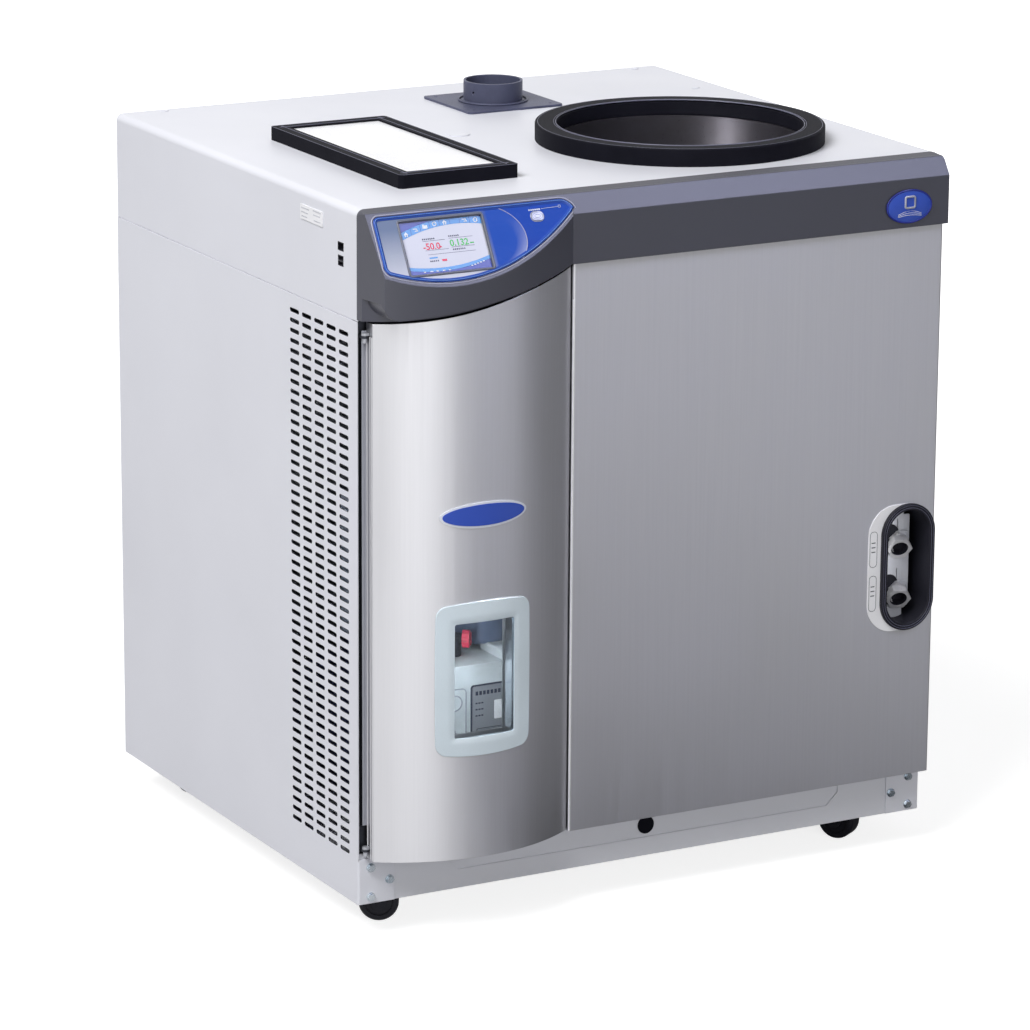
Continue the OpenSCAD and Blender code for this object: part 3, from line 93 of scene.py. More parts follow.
# ---- Places on the cabinet
class Place:
    """A local frame: an origin, two directions in its plane (by default right and up) and the way out of it."""

    def __init__(self, o, u=(1, 0, 0), v=(0, 0, 1)):
        self.o, self.u, self.v = Vector(o), Vector(u).normalized(), Vector(v).normalized()
        self.n = self.u.cross(self.v)

    def at(self, a, b, c=0.0):
        return self.o + self.u * a + self.v * b + self.n * c


FRONT = box("left_side_panel")[0].y
LEFT = box("left_side_panel")[0].x
LID = box("top_cover")[1].z
CREASE = box("front_panel")[0].x            # the pod ends here, and the flat front begins
# The tilted control face: u runs to the right from x = 0, v up the face from its upper edge
TILT = math.radians(30.5)
FACE = Place((0, FRONT - 0.0172, LID - 0.0046), v=(0, math.sin(TILT), math.cos(TILT)))
SCREEN_U = mid("touchscreen").x
SCREEN_V = -0.0105 - 0.03475                # below the face's upper edge: a margin and half the bezel's height
OVAL_U, OVAL_W, OVAL_H = SCREEN_U + 0.046, 0.062, 0.046      # the print's oval: centre and half sizes


# ---- Materials
M = {}                                      # every material, by its name


def tone(r, g, b):
    """Linear colour from a colour written in display values of 0 to 255."""
    def lin(c):
        c /= 255
        return c / 12.92 if c <= 0.04045 else ((c + 0.055) / 1.055) ** 2.4
    return (lin(r), lin(g), lin(b), 1.0)


def scaled(colour, by, more=0.0):
    """The colour made darker or paler."""
    return tuple(min(1, c * by + more) for c in colour[:3]) + (1,)


class Shader:
    """The node tree of a material, which goes into M, or of the world. It is written as calls."""

    def __init__(self, name, kind="Material"):
        self.mat = (bpy.data.worlds if kind == "World" else bpy.data.materials).new(name)
        M[name] = self.mat
        self.mat.use_nodes = True
        self.tree = self.mat.node_tree
        self.tree.nodes.clear()
        self.out = self.tree.nodes.new("ShaderNodeOutput" + kind)
        self.coords = self.tree.nodes.new("ShaderNodeTexCoord").outputs["Object"]

    def put(self, socket, value):
        if isinstance(value, bpy.types.NodeSocket):
            self.tree.links.new(value, socket)
        else:
            socket.default_value = value

    def node(self, kind, out=0, props=None, **ins):
        n = self.tree.nodes.new("ShaderNode" + kind)
        for k, v in (props or {}).items():
            setattr(n, k, v)
        for k, v in ins.items():
            key = int(k[1:]) if k[0] == "_" else k.replace("_", " ")
            self.put(n.inputs[key], v)
        return n.outputs[out]

    def noise(self, scale, detail=2.0, rough=0.5, coords=None):
        return self.node("TexNoise", Vector=coords or self.coords, Scale=scale, Detail=detail, Roughness=rough)

    def spread(self, value, low, high, from_low=0.3, from_high=0.7, smooth=False):
        """A range of the value carried over to low..high."""
        return self.node("MapRange", props={"interpolation_type": "SMOOTHSTEP" if smooth else "LINEAR"},
                         _0=value, _1=from_low, _2=from_high, _3=low, _4=high)

    def blend(self, factor, a, b):
        n = self.tree.nodes.new("ShaderNodeMix")
        n.data_type = "RGBA"
        for at, value in ((0, factor), (6, a), (7, b)):
            self.put(n.inputs[at], value)
        return n.outputs[2]

    def math(self, how, a, b=0.0):
        return self.node("Math", props={"operation": how}, _0=a, _1=b)

    def axis(self, which):
        """One of the object's own coordinates, in metres."""
        return self.node("SeparateXYZ", "XYZ".index(which), Vector=self.coords)

    def dot(self, a, b):
        return self.node("VectorMath", "Value", {"operation": "DOT_PRODUCT"}, _0=a, _1=b)

    def along(self, at, way):
        """Distance from a point along a direction."""
        off = self.node("VectorMath", "Vector", {"operation": "SUBTRACT"}, _0=self.coords, _1=tuple(at))
        return self.dot(off, tuple(way))

    def rays(self, *kinds):
        """1 for rays of the named kinds."""
        path = self.tree.nodes.new("ShaderNodeLightPath")
        first, *others = (path.outputs["Is " + kind + " Ray"] for kind in kinds)
        for other in others:
            first = self.math("MAXIMUM", first, other)
        return first

    def soft_edge(self, radius):
        return self.node("Bevel", props={"samples": 4}, Radius=radius)

    def edge_wear_and_highlight(self, base, soft, share, colour):
        """The base colour, with another where the softened normal leaves the true one: on outer edges. In rubber
        this paler colour is dust; in paint and plastic it is a painted highlight along the edges; in casting it is
        only paler edges.
        """
        same = self.dot(soft, self.node("NewGeometry", "Normal"))
        mask = self.spread(same, 0.0, 1.0, 0.995, 0.85)
        return self.blend(self.math("MULTIPLY", mask, share), base, colour)

    def bump(self, height, strength, distance, normal):
        return self.node("Bump", Height=height, Strength=strength, Distance=distance, Normal=normal)

    def surface(self, shader):
        self.tree.links.new(shader, self.out.inputs["Surface"])

    def finish(self, **ins):
        self.surface(self.node("BsdfPrincipled", **ins))


def paint(name, colour, rough=0.42):
    """Powder-coated sheet metal: orange peel, faint cloudiness, softly rounded edges, which are painted a little
    paler as a painted highlight.
    """
    s = Shader(name)
    soft = s.soft_edge(0.0008)
    peel = 420
    darker = scaled(colour, 0.95)
    base = s.blend(s.spread(s.noise(3.5, 3.0), 0, 1), colour, darker)
    base = s.blend(s.spread(s.noise(peel * 2.2, 1.0), 0, 0.25, 0.45, 0.75), base, darker)
    s.finish(Base_Color=s.edge_wear_and_highlight(base, soft, 0.35, scaled(colour, 1.12)),
             Roughness=s.spread(s.noise(9, 2), rough - 0.05, rough + 0.06),
             Normal=s.bump(s.noise(peel, 1.5), 0.12, 0.0004, soft))


def plastic(name, colour, rough=0.5, grain=900, depth=0.0003, strength=0.25, edge=0.0008, lift=1.18, spec=0.5):
    """Moulded plastic with a fine even grain; its edges are painted paler, by lift, as a painted highlight."""
    s = Shader(name)
    soft = s.soft_edge(edge)
    base = s.blend(s.spread(s.noise(6, 3), 0, 1), colour, scaled(colour, 0.88))
    g = s.noise(grain, 2.0, 0.6)
    s.finish(Base_Color=s.edge_wear_and_highlight(base, soft, 0.45, scaled(colour, lift)),
             Roughness=s.spread(g, rough - 0.06, rough + 0.08),
             Specular_IOR_Level=spec, Normal=s.bump(g, strength, depth, soft))


def brushed(name, colour, rough, scratches, depth, shift):
    """Brushed stainless sheet: long fine scratches along one axis, cloudy gloss."""
    s = Shader(name)
    lines = s.noise(1.0, 4.0, 0.65, s.node("Mapping", Vector=s.coords, Scale=scratches))
    cloud = s.noise(5.0, 3.0)
    darker = scaled(colour, 1 - shift)
    base = s.blend(s.spread(lines, 0, 1), colour, darker)
    base = s.blend(s.spread(cloud, 0, 0.35), base, darker)
    gloss = s.math("ADD", s.spread(lines, -0.04, 0.05), s.spread(cloud, rough - 0.03, rough + 0.03))
    s.finish(Base_Color=base, Metallic=1.0, Roughness=gloss, Anisotropic=0.6, Anisotropic_Rotation=0.25,
             Tangent=s.node("Tangent", props={"direction_type": "RADIAL", "axis": "Z"}),
             Normal=s.bump(lines, 0.25, depth, s.soft_edge(0.0006)))


def metal(name, colour, rough=0.3, grain=300, depth=0.0001, strength=0.3, tint=None, metallic=1.0):
    """Plain or plated metal with fine blotches."""
    s = Shader(name)
    base = s.blend(s.spread(s.noise(60, 4), 0, 1), colour, tint or scaled(colour, 0.8))
    g = s.noise(grain, 3, 0.6)
    s.finish(Base_Color=base, Metallic=metallic, Roughness=s.spread(g, rough - 0.07, rough + 0.1),
             Normal=s.bump(g, strength, depth, s.soft_edge(0.0005)))


def rubber(name, colour, spec):
    """Moulded rubber: dull, finely pitted, paler dust on its edges."""
    s = Shader(name)
    soft = s.soft_edge(0.0012)
    dusty = scaled(colour, 1.8, 0.004)
    base = s.blend(s.spread(s.noise(25, 4, 0.65), 0, 0.35), colour, dusty)
    g = s.noise(1400, 2.5, 0.6)
    s.finish(Base_Color=s.edge_wear_and_highlight(base, soft, 0.4, dusty), Roughness=s.spread(g, 0.54, 0.70),
             Specular_IOR_Level=spec, Normal=s.bump(g, 0.35, 0.0003, soft))


def casting(name, colour, rough=0.5, metallic=0.0, spec=0.3):
    """Painted or coated casting with a pebbled skin."""
    s = Shader(name)
    soft = s.soft_edge(0.0015)
    g = s.noise(700, 3, 0.6)
    base = s.blend(s.spread(s.noise(18, 4, 0.6), 0, 1), colour, scaled(colour, 0.75))
    s.finish(Base_Color=s.edge_wear_and_highlight(base, soft, 0.5, scaled(colour, 1.35, 0.01)), Metallic=metallic,
             Roughness=s.spread(g, rough - 0.08, rough + 0.1),
             Specular_IOR_Level=spec, Normal=s.bump(g, 0.5, 0.0004, soft))


def clear_pane(name):
    """Clear polycarbonate: mostly see-through, with a gloss and a faint cool tint."""
    s = Shader(name)
    ripple = s.noise(14, 2)
    tint = s.blend(s.spread(ripple, 0, 1), (0.93, 0.97, 0.99, 1), (0.9, 0.95, 0.98, 1))
    gloss = s.node("BsdfGlossy", Color=(0.9, 0.95, 1.0, 1), Roughness=s.spread(ripple, 0.03, 0.07))
    see = s.node("BsdfTransparent", Color=tint)
    s.surface(s.node("MixShader", _0=s.node("Fresnel", IOR=1.45), _1=see, _2=gloss))


def lit_display(name):
    """The display's lit ground under its touch panel: pale grey, faintly cloudy."""
    s = Shader(name)
    cloud = s.noise(7, 2)
    base = s.blend(s.spread(cloud, 0, 1), tone(170, 171, 178), tone(160, 162, 170))
    base = s.blend(s.spread(s.noise(2500, 0), 0, 0.15), base, tone(150, 152, 164))
    s.finish(Base_Color=base, Roughness=s.spread(cloud, 0.1, 0.16), Emission_Color=base,
             Emission_Strength=0.12, Coat_Weight=0.3, Coat_Roughness=0.05)


def overlay_print(name):
    """The control overlay's print: silver round the screen, blue to its right, darker to its edges."""
    s = Shader(name)
    u, v = s.along(FACE.o, FACE.u), s.along(FACE.o, FACE.v)
    # distance from the print's oval, 1 on its rim
    du = s.math("DIVIDE", s.math("SUBTRACT", u, OVAL_U), OVAL_W)
    dv = s.math("DIVIDE", s.math("SUBTRACT", v, SCREEN_V), OVAL_H)
    rim = s.math("SQRT", s.math("ADD", s.math("MULTIPLY", du, du), s.math("MULTIPLY", dv, dv)))
    low = s.spread(v, 0, 1, -0.02, -0.09)
    silver = s.blend(low, tone(112, 126, 156), tone(206, 208, 222))
    glow = s.blend(s.math("MULTIPLY", low, s.spread(rim, 0.0, 1.0, 0.75, 1.0)),
                   tone(34, 76, 172), tone(180, 186, 218))
    oval_print = s.blend(s.spread(u, 0, 1, SCREEN_U + 0.050, SCREEN_U + 0.062), silver, glow)
    field = s.blend(s.spread(v, 0, 1, -0.045, -0.10), tone(26, 68, 166), tone(28, 38, 132))
    field = s.blend(s.spread(u, 1, 0, SCREEN_U + 0.02, SCREEN_U + 0.03), field, silver)
    base = s.blend(s.spread(rim, 1.0, 0.0, 0.985, 1.0), field, oval_print)
    base = s.blend(s.spread(s.noise(2200, 1), 0.0, 0.06), base, tone(30, 40, 100))
    s.finish(Base_Color=base, Roughness=s.spread(s.noise(30, 2), 0.24, 0.32), Specular_IOR_Level=0.08)


paint("white_paint", tone(222, 223, 231))
paint("pale_paint", tone(220, 221, 228), 0.4)
plastic("frame_paint", tone(40, 41, 48), 0.5, 700, spec=0.15)
metal("inner_steel", tone(170, 172, 178), 0.45, tint=tone(158, 160, 167), metallic=0.75)
brushed("stainless", tone(196, 196, 199), 0.40, (420, 420, 5), 0.00001, 0.03)
metal("zinc", tone(206, 212, 217), 0.25, tint=tone(160, 172, 182))
# the fascia's edges painted much paler (lift 2.2): a painted highlight along its rims and corners
plastic("fascia_plastic", tone(52, 53, 66), 0.36, spec=0.75, edge=0.0016, lift=2.2)
overlay_print("overlay_blue")
plastic("bezel_grey", tone(96, 99, 112), 0.3, spec=0.4)
lit_display("display")
metal("button_silver", tone(172, 174, 184), 0.36, metallic=0.6)
plastic("badge_blue", tone(38, 48, 140), 0.18, 2400, 0.00004, 0.1, spec=0.3)
plastic("window_border", tone(214, 227, 236), 0.3, 1500, 0.0001, 0.15, lift=1.1)
clear_pane("window_clear")
plastic("label_white", tone(244, 244, 248), 0.35, 1800, 0.0001, 0.15, lift=1.05)
plastic("black_plastic", tone(30, 30, 38), 0.45, lift=1.8, spec=0.2)
rubber("rubber", tone(11, 11, 19), 0.06)
metal("chamber_coat", tone(66, 64, 70), 0.34, 900, 0.00002, 0.05, tint=tone(63, 61, 66), metallic=0.8)
metal("copper", tone(205, 130, 95), 0.28, tint=tone(150, 85, 60))
plastic("foam", tone(206, 190, 150), 0.9, 350, 0.001, 0.8)
casting("port_grey", tone(82, 85, 108), 0.45, metallic=0.2)
plastic("insert_white", tone(246, 246, 250), 0.3, 1200, 0.0001, 0.1, lift=1.0)
casting("pump_grey", tone(196, 202, 206))
casting("pump_blue", tone(78, 86, 128), spec=0.25)
casting("filter_dark", tone(92, 104, 130), 0.35)
plastic("knob_red", tone(206, 46, 78), 0.3)
casting("compressor_black", tone(34, 34, 38), 0.35)
metal("fin_aluminium", tone(196, 198, 202), 0.35)
plastic("badge_field", tone(52, 84, 190), 0.2, 2400, 0.00004, 0.1, spec=0.3)
# pale lavender of the painted highlight round the overlay; the crescent uses it too
plastic("lip_highlight_and_crescent", tone(168, 168, 188), 0.35, 1500, 0.0001, 0.1)
plastic("bead_blue", tone(38, 76, 170), 0.2, 2400, 0.00004, 0.05, lift=1.5, spec=0.35)
plastic("line_white", tone(226, 230, 240), 0.4, 2000, 0.00005, 0.1)
plastic("screen_navy", tone(40, 58, 150), 0.2, 2600, 0.00003, 0.05)
plastic("screen_sky", tone(72, 140, 205), 0.2, 2600, 0.00003, 0.05)
plastic("screen_red", tone(206, 12, 52), 0.2, 2600, 0.00003, 0.05)
plastic("screen_green", tone(40, 172, 52), 0.2, 2600, 0.00003, 0.05)
plastic("screen_ink", tone(52, 55, 72), 0.25, 2600, 0.00003, 0.05)
metal("nickel", tone(214, 214, 217), 0.34, 500, 0.00003, 0.12, tint=tone(196, 196, 200), metallic=0.55)
# light blue of the painted highlight along the overlay's bead
plastic("bead_highlight_blue", tone(112, 164, 232), 0.25, 2400, 0.00004, 0.05)
paint("hem_steel", tone(158, 160, 170), 0.4)
metal("polished", tone(205, 208, 214), 0.12, 900, 0.00001, 0.03, tint=tone(190, 194, 202))
paint("shroud_grey", tone(150, 160, 178), 0.5)
metal("hinge_dark", tone(58, 60, 68), 0.4, 400, 0.00005, 0.2, tint=tone(40, 42, 48), metallic=0.7)
# pale grey of painted highlights along dark edges
plastic("edge_highlight_grey", tone(96, 97, 118), 0.4, 1500, 0.0001, 0.1)
plastic("plate_grey", tone(140, 142, 150), 0.3, 1800, 0.00005, 0.1)
plastic("label_grey", tone(196, 198, 206), 0.35, 1800, 0.00005, 0.1)

record_slots = {p["node"]: p["material_slot"] for p in frame["record"]["subparts"]
                if "material_slot" in p}
# the nodes that look different from the rest of their slot
OWN_LOOK = {"collector_drain_fitting": "nickel", "vacuum_drain_fitting": "nickel", "drain_bracket": "label_grey",
            "top_plugs": "white_paint", "hinge_brackets": "hinge_dark"}
for node_name, node in NODES.items():
    node.data.materials.clear()
    node.data.materials.append(M[OWN_LOOK.get(node_name) or record_slots.get(node_name, "white_paint")])


# ---- Mesh building: shapes go into one open mesh, until piece() closes it
class Work:
    """The open mesh, which the shape functions add to."""
    bm = bmesh.new()


def piece(name, mat, body="cabinet", sharp=32, bevel=0.0):
    """Makes a piece of the open mesh and opens the next."""
    bm, Work.bm = Work.bm, bmesh.new()
    bmesh.ops.remove_doubles(bm, verts=bm.verts, dist=1e-7)
    bmesh.ops.recalc_face_normals(bm, faces=bm.faces)
    data = bpy.data.meshes.new(name)
    bm.to_mesh(data)
    bm.free()
    for p in data.polygons:
        p.use_smooth = True
    data.set_sharp_from_angle(angle=math.radians(sharp))
    data.materials.append(M[mat])
    obj = add(name, data)
    if bevel:
        m = obj.modifiers.new("soft", "BEVEL")
        m.width, m.segments, m.limit_method = bevel, 2, "ANGLE"
        m.angle_limit = math.radians(40)
    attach(obj, body)
    return obj


def rings_to(rings, closed, turn=1):
    """Faces between rings of points, one for each section along the path; turn is the sense of the end faces."""
    bm = Work.bm
    made = [[bm.verts.new(p) for p in ring] for ring in rings]
    n, m = len(made), len(made[0])
    for i in range(n if closed else n - 1):
        a, b = made[i], made[(i + 1) % n]
        for j in range(m):
            k = (j + 1) % m
            bm.faces.new((a[j], a[k], b[k], b[j]))
    if not closed:
        bm.faces.new(made[0][::turn])
        bm.faces.new(made[-1][::-turn])


def turns(n):
    """Angles that divide a full turn by n."""
    return [2 * math.pi * k / n for k in range(n)]


def tube(path, radius, sides=8, closed=False, up=UP):
    """A round rod along a path."""
    rings = []
    for i, p in enumerate(path):
        before = path[i - 1] if i or closed else p
        after = path[(i + 1) % len(path)] if i + 1 < len(path) or closed else p
        ahead = (Vector(after) - Vector(before)).normalized()
        side = ahead.cross(up)
        if side.length < 1e-4:
            side = ahead.cross(Vector((0, 1, 0)))
        side.normalize()
        rise = side.cross(ahead).normalized()
        rings.append([Vector(p) + side * radius * math.cos(a) + rise * radius * math.sin(a) for a in turns(sides)])
    rings_to(rings, closed)


def rod(x, y, z, height, steps, radius, sides=8):
    """An upright rod."""
    tube([(x, y, z + height * k / steps) for k in range(steps + 1)], radius, sides)


def cord(place, outline, h, radius, sides=6):
    """A thin rod laid along a closed outline of local points."""
    tube([place.at(a, b, h) for a, b in outline], radius, sides, closed=True, up=place.n)


def inset(outline, by):
    """The outline, which runs anticlockwise, moved inwards."""
    out = []
    for i, p in enumerate(outline):
        a, b, p = Vector(outline[i - 1]), Vector(outline[(i + 1) % len(outline)]), Vector(p)
        d0, d1 = (p - a).normalized(), (b - p).normalized()
        n0, n1 = Vector((-d0.y, d0.x)), Vector((-d1.y, d1.x))
        mean = n0 + n1
        mean = mean.normalized() if mean.length > 1e-9 else n0
        out.append(tuple(p + mean * by / max(0.5, mean.dot(n0))))
    return out


def prism(outline, place, low, high, top_in=0.0):
    """A plate from an outline of local points, its upper edge moved in by top_in."""
    rows = [(outline, low), (outline, high)]
    if top_in:
        rows = [(outline, low), (outline, high - top_in), (inset(outline, top_in), high)]
    rings_to([[place.at(a, b, h) for a, b in line] for line, h in rows], False, -1)


def bead(outline, place, profile):
    """A closed moulding that follows an outline: the profile is inset and height."""
    lines = [inset(outline, d) for d, h in profile]
    rings_to([[place.at(*line[i], h) for line, (d, h) in zip(lines, profile)]
              for i in range(len(outline))], True)


def lathe(profile, at, axis, sides):
    """Turns a closed profile of radius and height about an axis."""
    axis = Vector(axis).normalized()
    side = axis.orthogonal().normalized()
    other = axis.cross(side)
    rings = []
    for a in turns(sides):
        out = side * math.cos(a) + other * math.sin(a)
        rings.append([Vector(at) + out * r + axis * h for r, h in profile])
    rings_to(rings, True)


def round_box(w, h, r, n=6, at=(0, 0)):
    pts = []
    for cx, cy, a0 in ((1, 1, 0), (-1, 1, 90), (-1, -1, 180), (1, -1, 270)):
        for k in range(n + 1):
            a = math.radians(a0 + 90 * k / n)
            pts.append((at[0] + cx * (w / 2 - r) + r * math.cos(a), at[1] + cy * (h / 2 - r) + r * math.sin(a)))
    return pts


def oval(w, h, n, at=(0, 0)):
    return [(at[0] + w / 2 * math.cos(a), at[1] + h / 2 * math.sin(a)) for a in turns(n)]


def strip(place, columns, low, high):
    """A thin plate given as columns of (a, b_low, b_high)."""
    rings_to([[place.at(a, b0, low), place.at(a, b1, low), place.at(a, b1, high), place.at(a, b0, high)]
              for a, b0, b1 in columns], False)


def bar(place, a0, a1, b0, b1, low, high):
    strip(place, [(a0, b0, b1), (a1, b0, b1)], low, high)


def digits(text, place, a, b, size, low, high):
    """Numerals as flat plates, from the built-in font."""
    curve = bpy.data.curves.new("digits", "FONT")
    curve.body, curve.size = text, size
    curve.resolution_u, curve.offset = 3, 0.00022
    tmp = add("digits", curve)
    flat = bpy.data.meshes.new_from_object(tmp.evaluated_get(bpy.context.evaluated_depsgraph_get()))
    part = bmesh.new()
    part.from_mesh(flat)
    bmesh.ops.remove_doubles(part, verts=part.verts, dist=1e-6)
    bm = Work.bm
    under, upper = ([bm.verts.new(place.at(a + v.co.x, b + v.co.y, z)) for v in part.verts] for z in (low, high))
    part.verts.index_update()
    for row in (under, upper):
        for face in part.faces:
            bm.faces.new([row[v.index] for v in face.verts])
    for edge in part.edges:
        if edge.is_boundary:
            p, q = (v.index for v in edge.verts)
            bm.faces.new((under[p], under[q], upper[q], upper[p]))
    part.free()
    bpy.data.objects.remove(tmp)
    bpy.data.curves.remove(curve)
    bpy.data.meshes.remove(flat)


# ---- Control face
def overlay_outline():
    """The overlay's outline on the control face, anticlockwise, as the fascia's source draws it."""
    px, py, qx, qy, big = LEFT + 0.008, -0.057, CREASE - 0.006, -0.0305, 0.44
    d = math.hypot(qx - px, qy - py)
    root = math.sqrt(big * big - d * d / 4)
    cx, cy = (px + qx) / 2 - (qy - py) / d * root, (py + qy) / 2 + (qx - px) / d * root
    plan = big - 0.003

    def low(u):
        return (FRONT + cy - math.sqrt(plan * plan - (u - cx) ** 2) - FACE.o.y) / math.sin(TILT)

    left, top, corner_r, nose_r = px + 0.0018, -0.003, 0.008, 0.020
    nose = (CREASE - nose_r - 0.001, top - nose_r)
    pts = []
    for k in range(9):                       # upper left corner
        a = math.radians(180 - 90 * k / 8)
        pts.append((left + corner_r + corner_r * math.cos(a), top - corner_r + corner_r * math.sin(a)))
    for k in range(1, 20):                   # upper edge
        pts.append((left + corner_r + (nose[0] - left - corner_r) * k / 20, top))
    for k in range(0, 40):                   # nose
        a = math.radians(90 - 4 * k)
        p = (nose[0] + nose_r * math.cos(a), nose[1] + nose_r * math.sin(a))
        if p[1] < low(p[0]) + 0.0002:
            break
        pts.append(p)
    end_u = pts[-1][0]
    slope = (low(left + 1e-4) - low(left)) / 1e-4
    fall, r = math.atan(-slope), 0.012
    run = r * (1 - math.sin(fall)) / math.cos(fall)
    stop = left + run * math.cos(fall)
    for k in range(1, 47):                   # lower edge, back to the left
        u = end_u + (stop - end_u) * k / 46
        pts.append((u, low(u)))
    c = (left + r, low(left) - run * math.sin(fall) + r * math.cos(fall))
    for k in range(1, 9):                    # lower left corner
        a = math.radians(-90) - fall + (math.radians(-90) + fall) * k / 8
        pts.append((c[0] + r * math.cos(a), c[1] + r * math.sin(a)))
    for k in range(1, 12):                   # left edge
        pts.append((left, c[1] + (top - corner_r - c[1]) * k / 12))
    return pts[::-1]


def control_face():
    outline = overlay_outline()
    bead(outline, FACE, [(0.0004, -0.0004), (0.0006, 0.0005), (0.0013, 0.0012), (0.0022, 0.0014), (0.0030, 0.0011),
                         (0.0038, 0.0004), (0.0044, 0.0003), (0.0050, 0.0001), (0.0052, -0.0004)])
    piece("overlay_bead", "bead_blue")
    # painted highlight: a light blue line along the crest of the overlay's bead
    cord(FACE, inset(outline, 0.0022), 0.0014, 0.0003)
    piece("overlay_bead_highlight", "bead_highlight_blue")
    # painted highlight: a pale lip round the overlay, for the light on the fascia's edge there
    bead(outline, FACE, [(-0.0024, -0.0003), (-0.0022, 0.0004), (-0.0016, 0.0008), (-0.0009, 0.0006),
                         (-0.0006, -0.0002), (-0.0006, -0.0010), (-0.0024, -0.0010)])
    piece("overlay_lip_highlight", "lip_highlight_and_crescent")
    # a raised crescent just inside the print's oval, to the right of the display
    sweep = [math.radians(62 - 98 * k / 32) for k in range(33)]
    tube([FACE.at(OVAL_U + (OVAL_W - 0.0008) * math.cos(a), SCREEN_V + (OVAL_H - 0.0008) * math.sin(a), -0.0002)
          for a in sweep], 0.0005, 6, up=FACE.n)
    piece("overlay_crescent", "lip_highlight_and_crescent")
    # frame of the display with a soft lip
    bead(round_box(0.1125, 0.0695, 0.003, at=(SCREEN_U, SCREEN_V)), FACE,
         [(-0.0012, -0.0004), (-0.0010, 0.0005), (-0.0002, 0.0011), (0.0010, 0.0010), (0.0017, 0.0004),
          (0.0019, -0.0018), (0.0004, -0.0018)])
    piece("display_lip", "bezel_grey")
    # marks beside the button: a thin line that ends in a small ring, and plain dashes
    u, v = mid("power_button").x, -0.022
    tube([FACE.at(u + 0.0075, v + 0.0088, 0), FACE.at(u + 0.0305, v + 0.0096, 0)], 0.00028, 6, up=FACE.n)
    cord(FACE, oval(0.0032, 0.0032, 20, (u + 0.0325, v + 0.0097)), 0, 0.00028)
    for k in range(6):
        bar(FACE, u - 0.0095 + 0.0027 * k, u - 0.0077 + 0.0027 * k, v + 0.0076, v + 0.0094, -0.0003, 0.0001)
    piece("button_marks", "line_white")
    # rings on the button's cap, and one round it
    for w, h in ((0.0132, 0.0082), (0.0074, 0.0044)):
        cord(FACE, oval(w, h, 28, (u, v)), 0.0012, 0.00035)
    piece("button_rings", "bezel_grey", "power_button")
    bead(round_box(0.0175, 0.0125, 0.0062, at=(u, v)), FACE,
         [(-0.0006, -0.0003), (-0.0004, 0.0003), (0.0002, 0.0005), (0.0007, 0.0002), (0.0007, -0.0006),
          (-0.0006, -0.0006)])
    piece("button_ring", "button_silver")


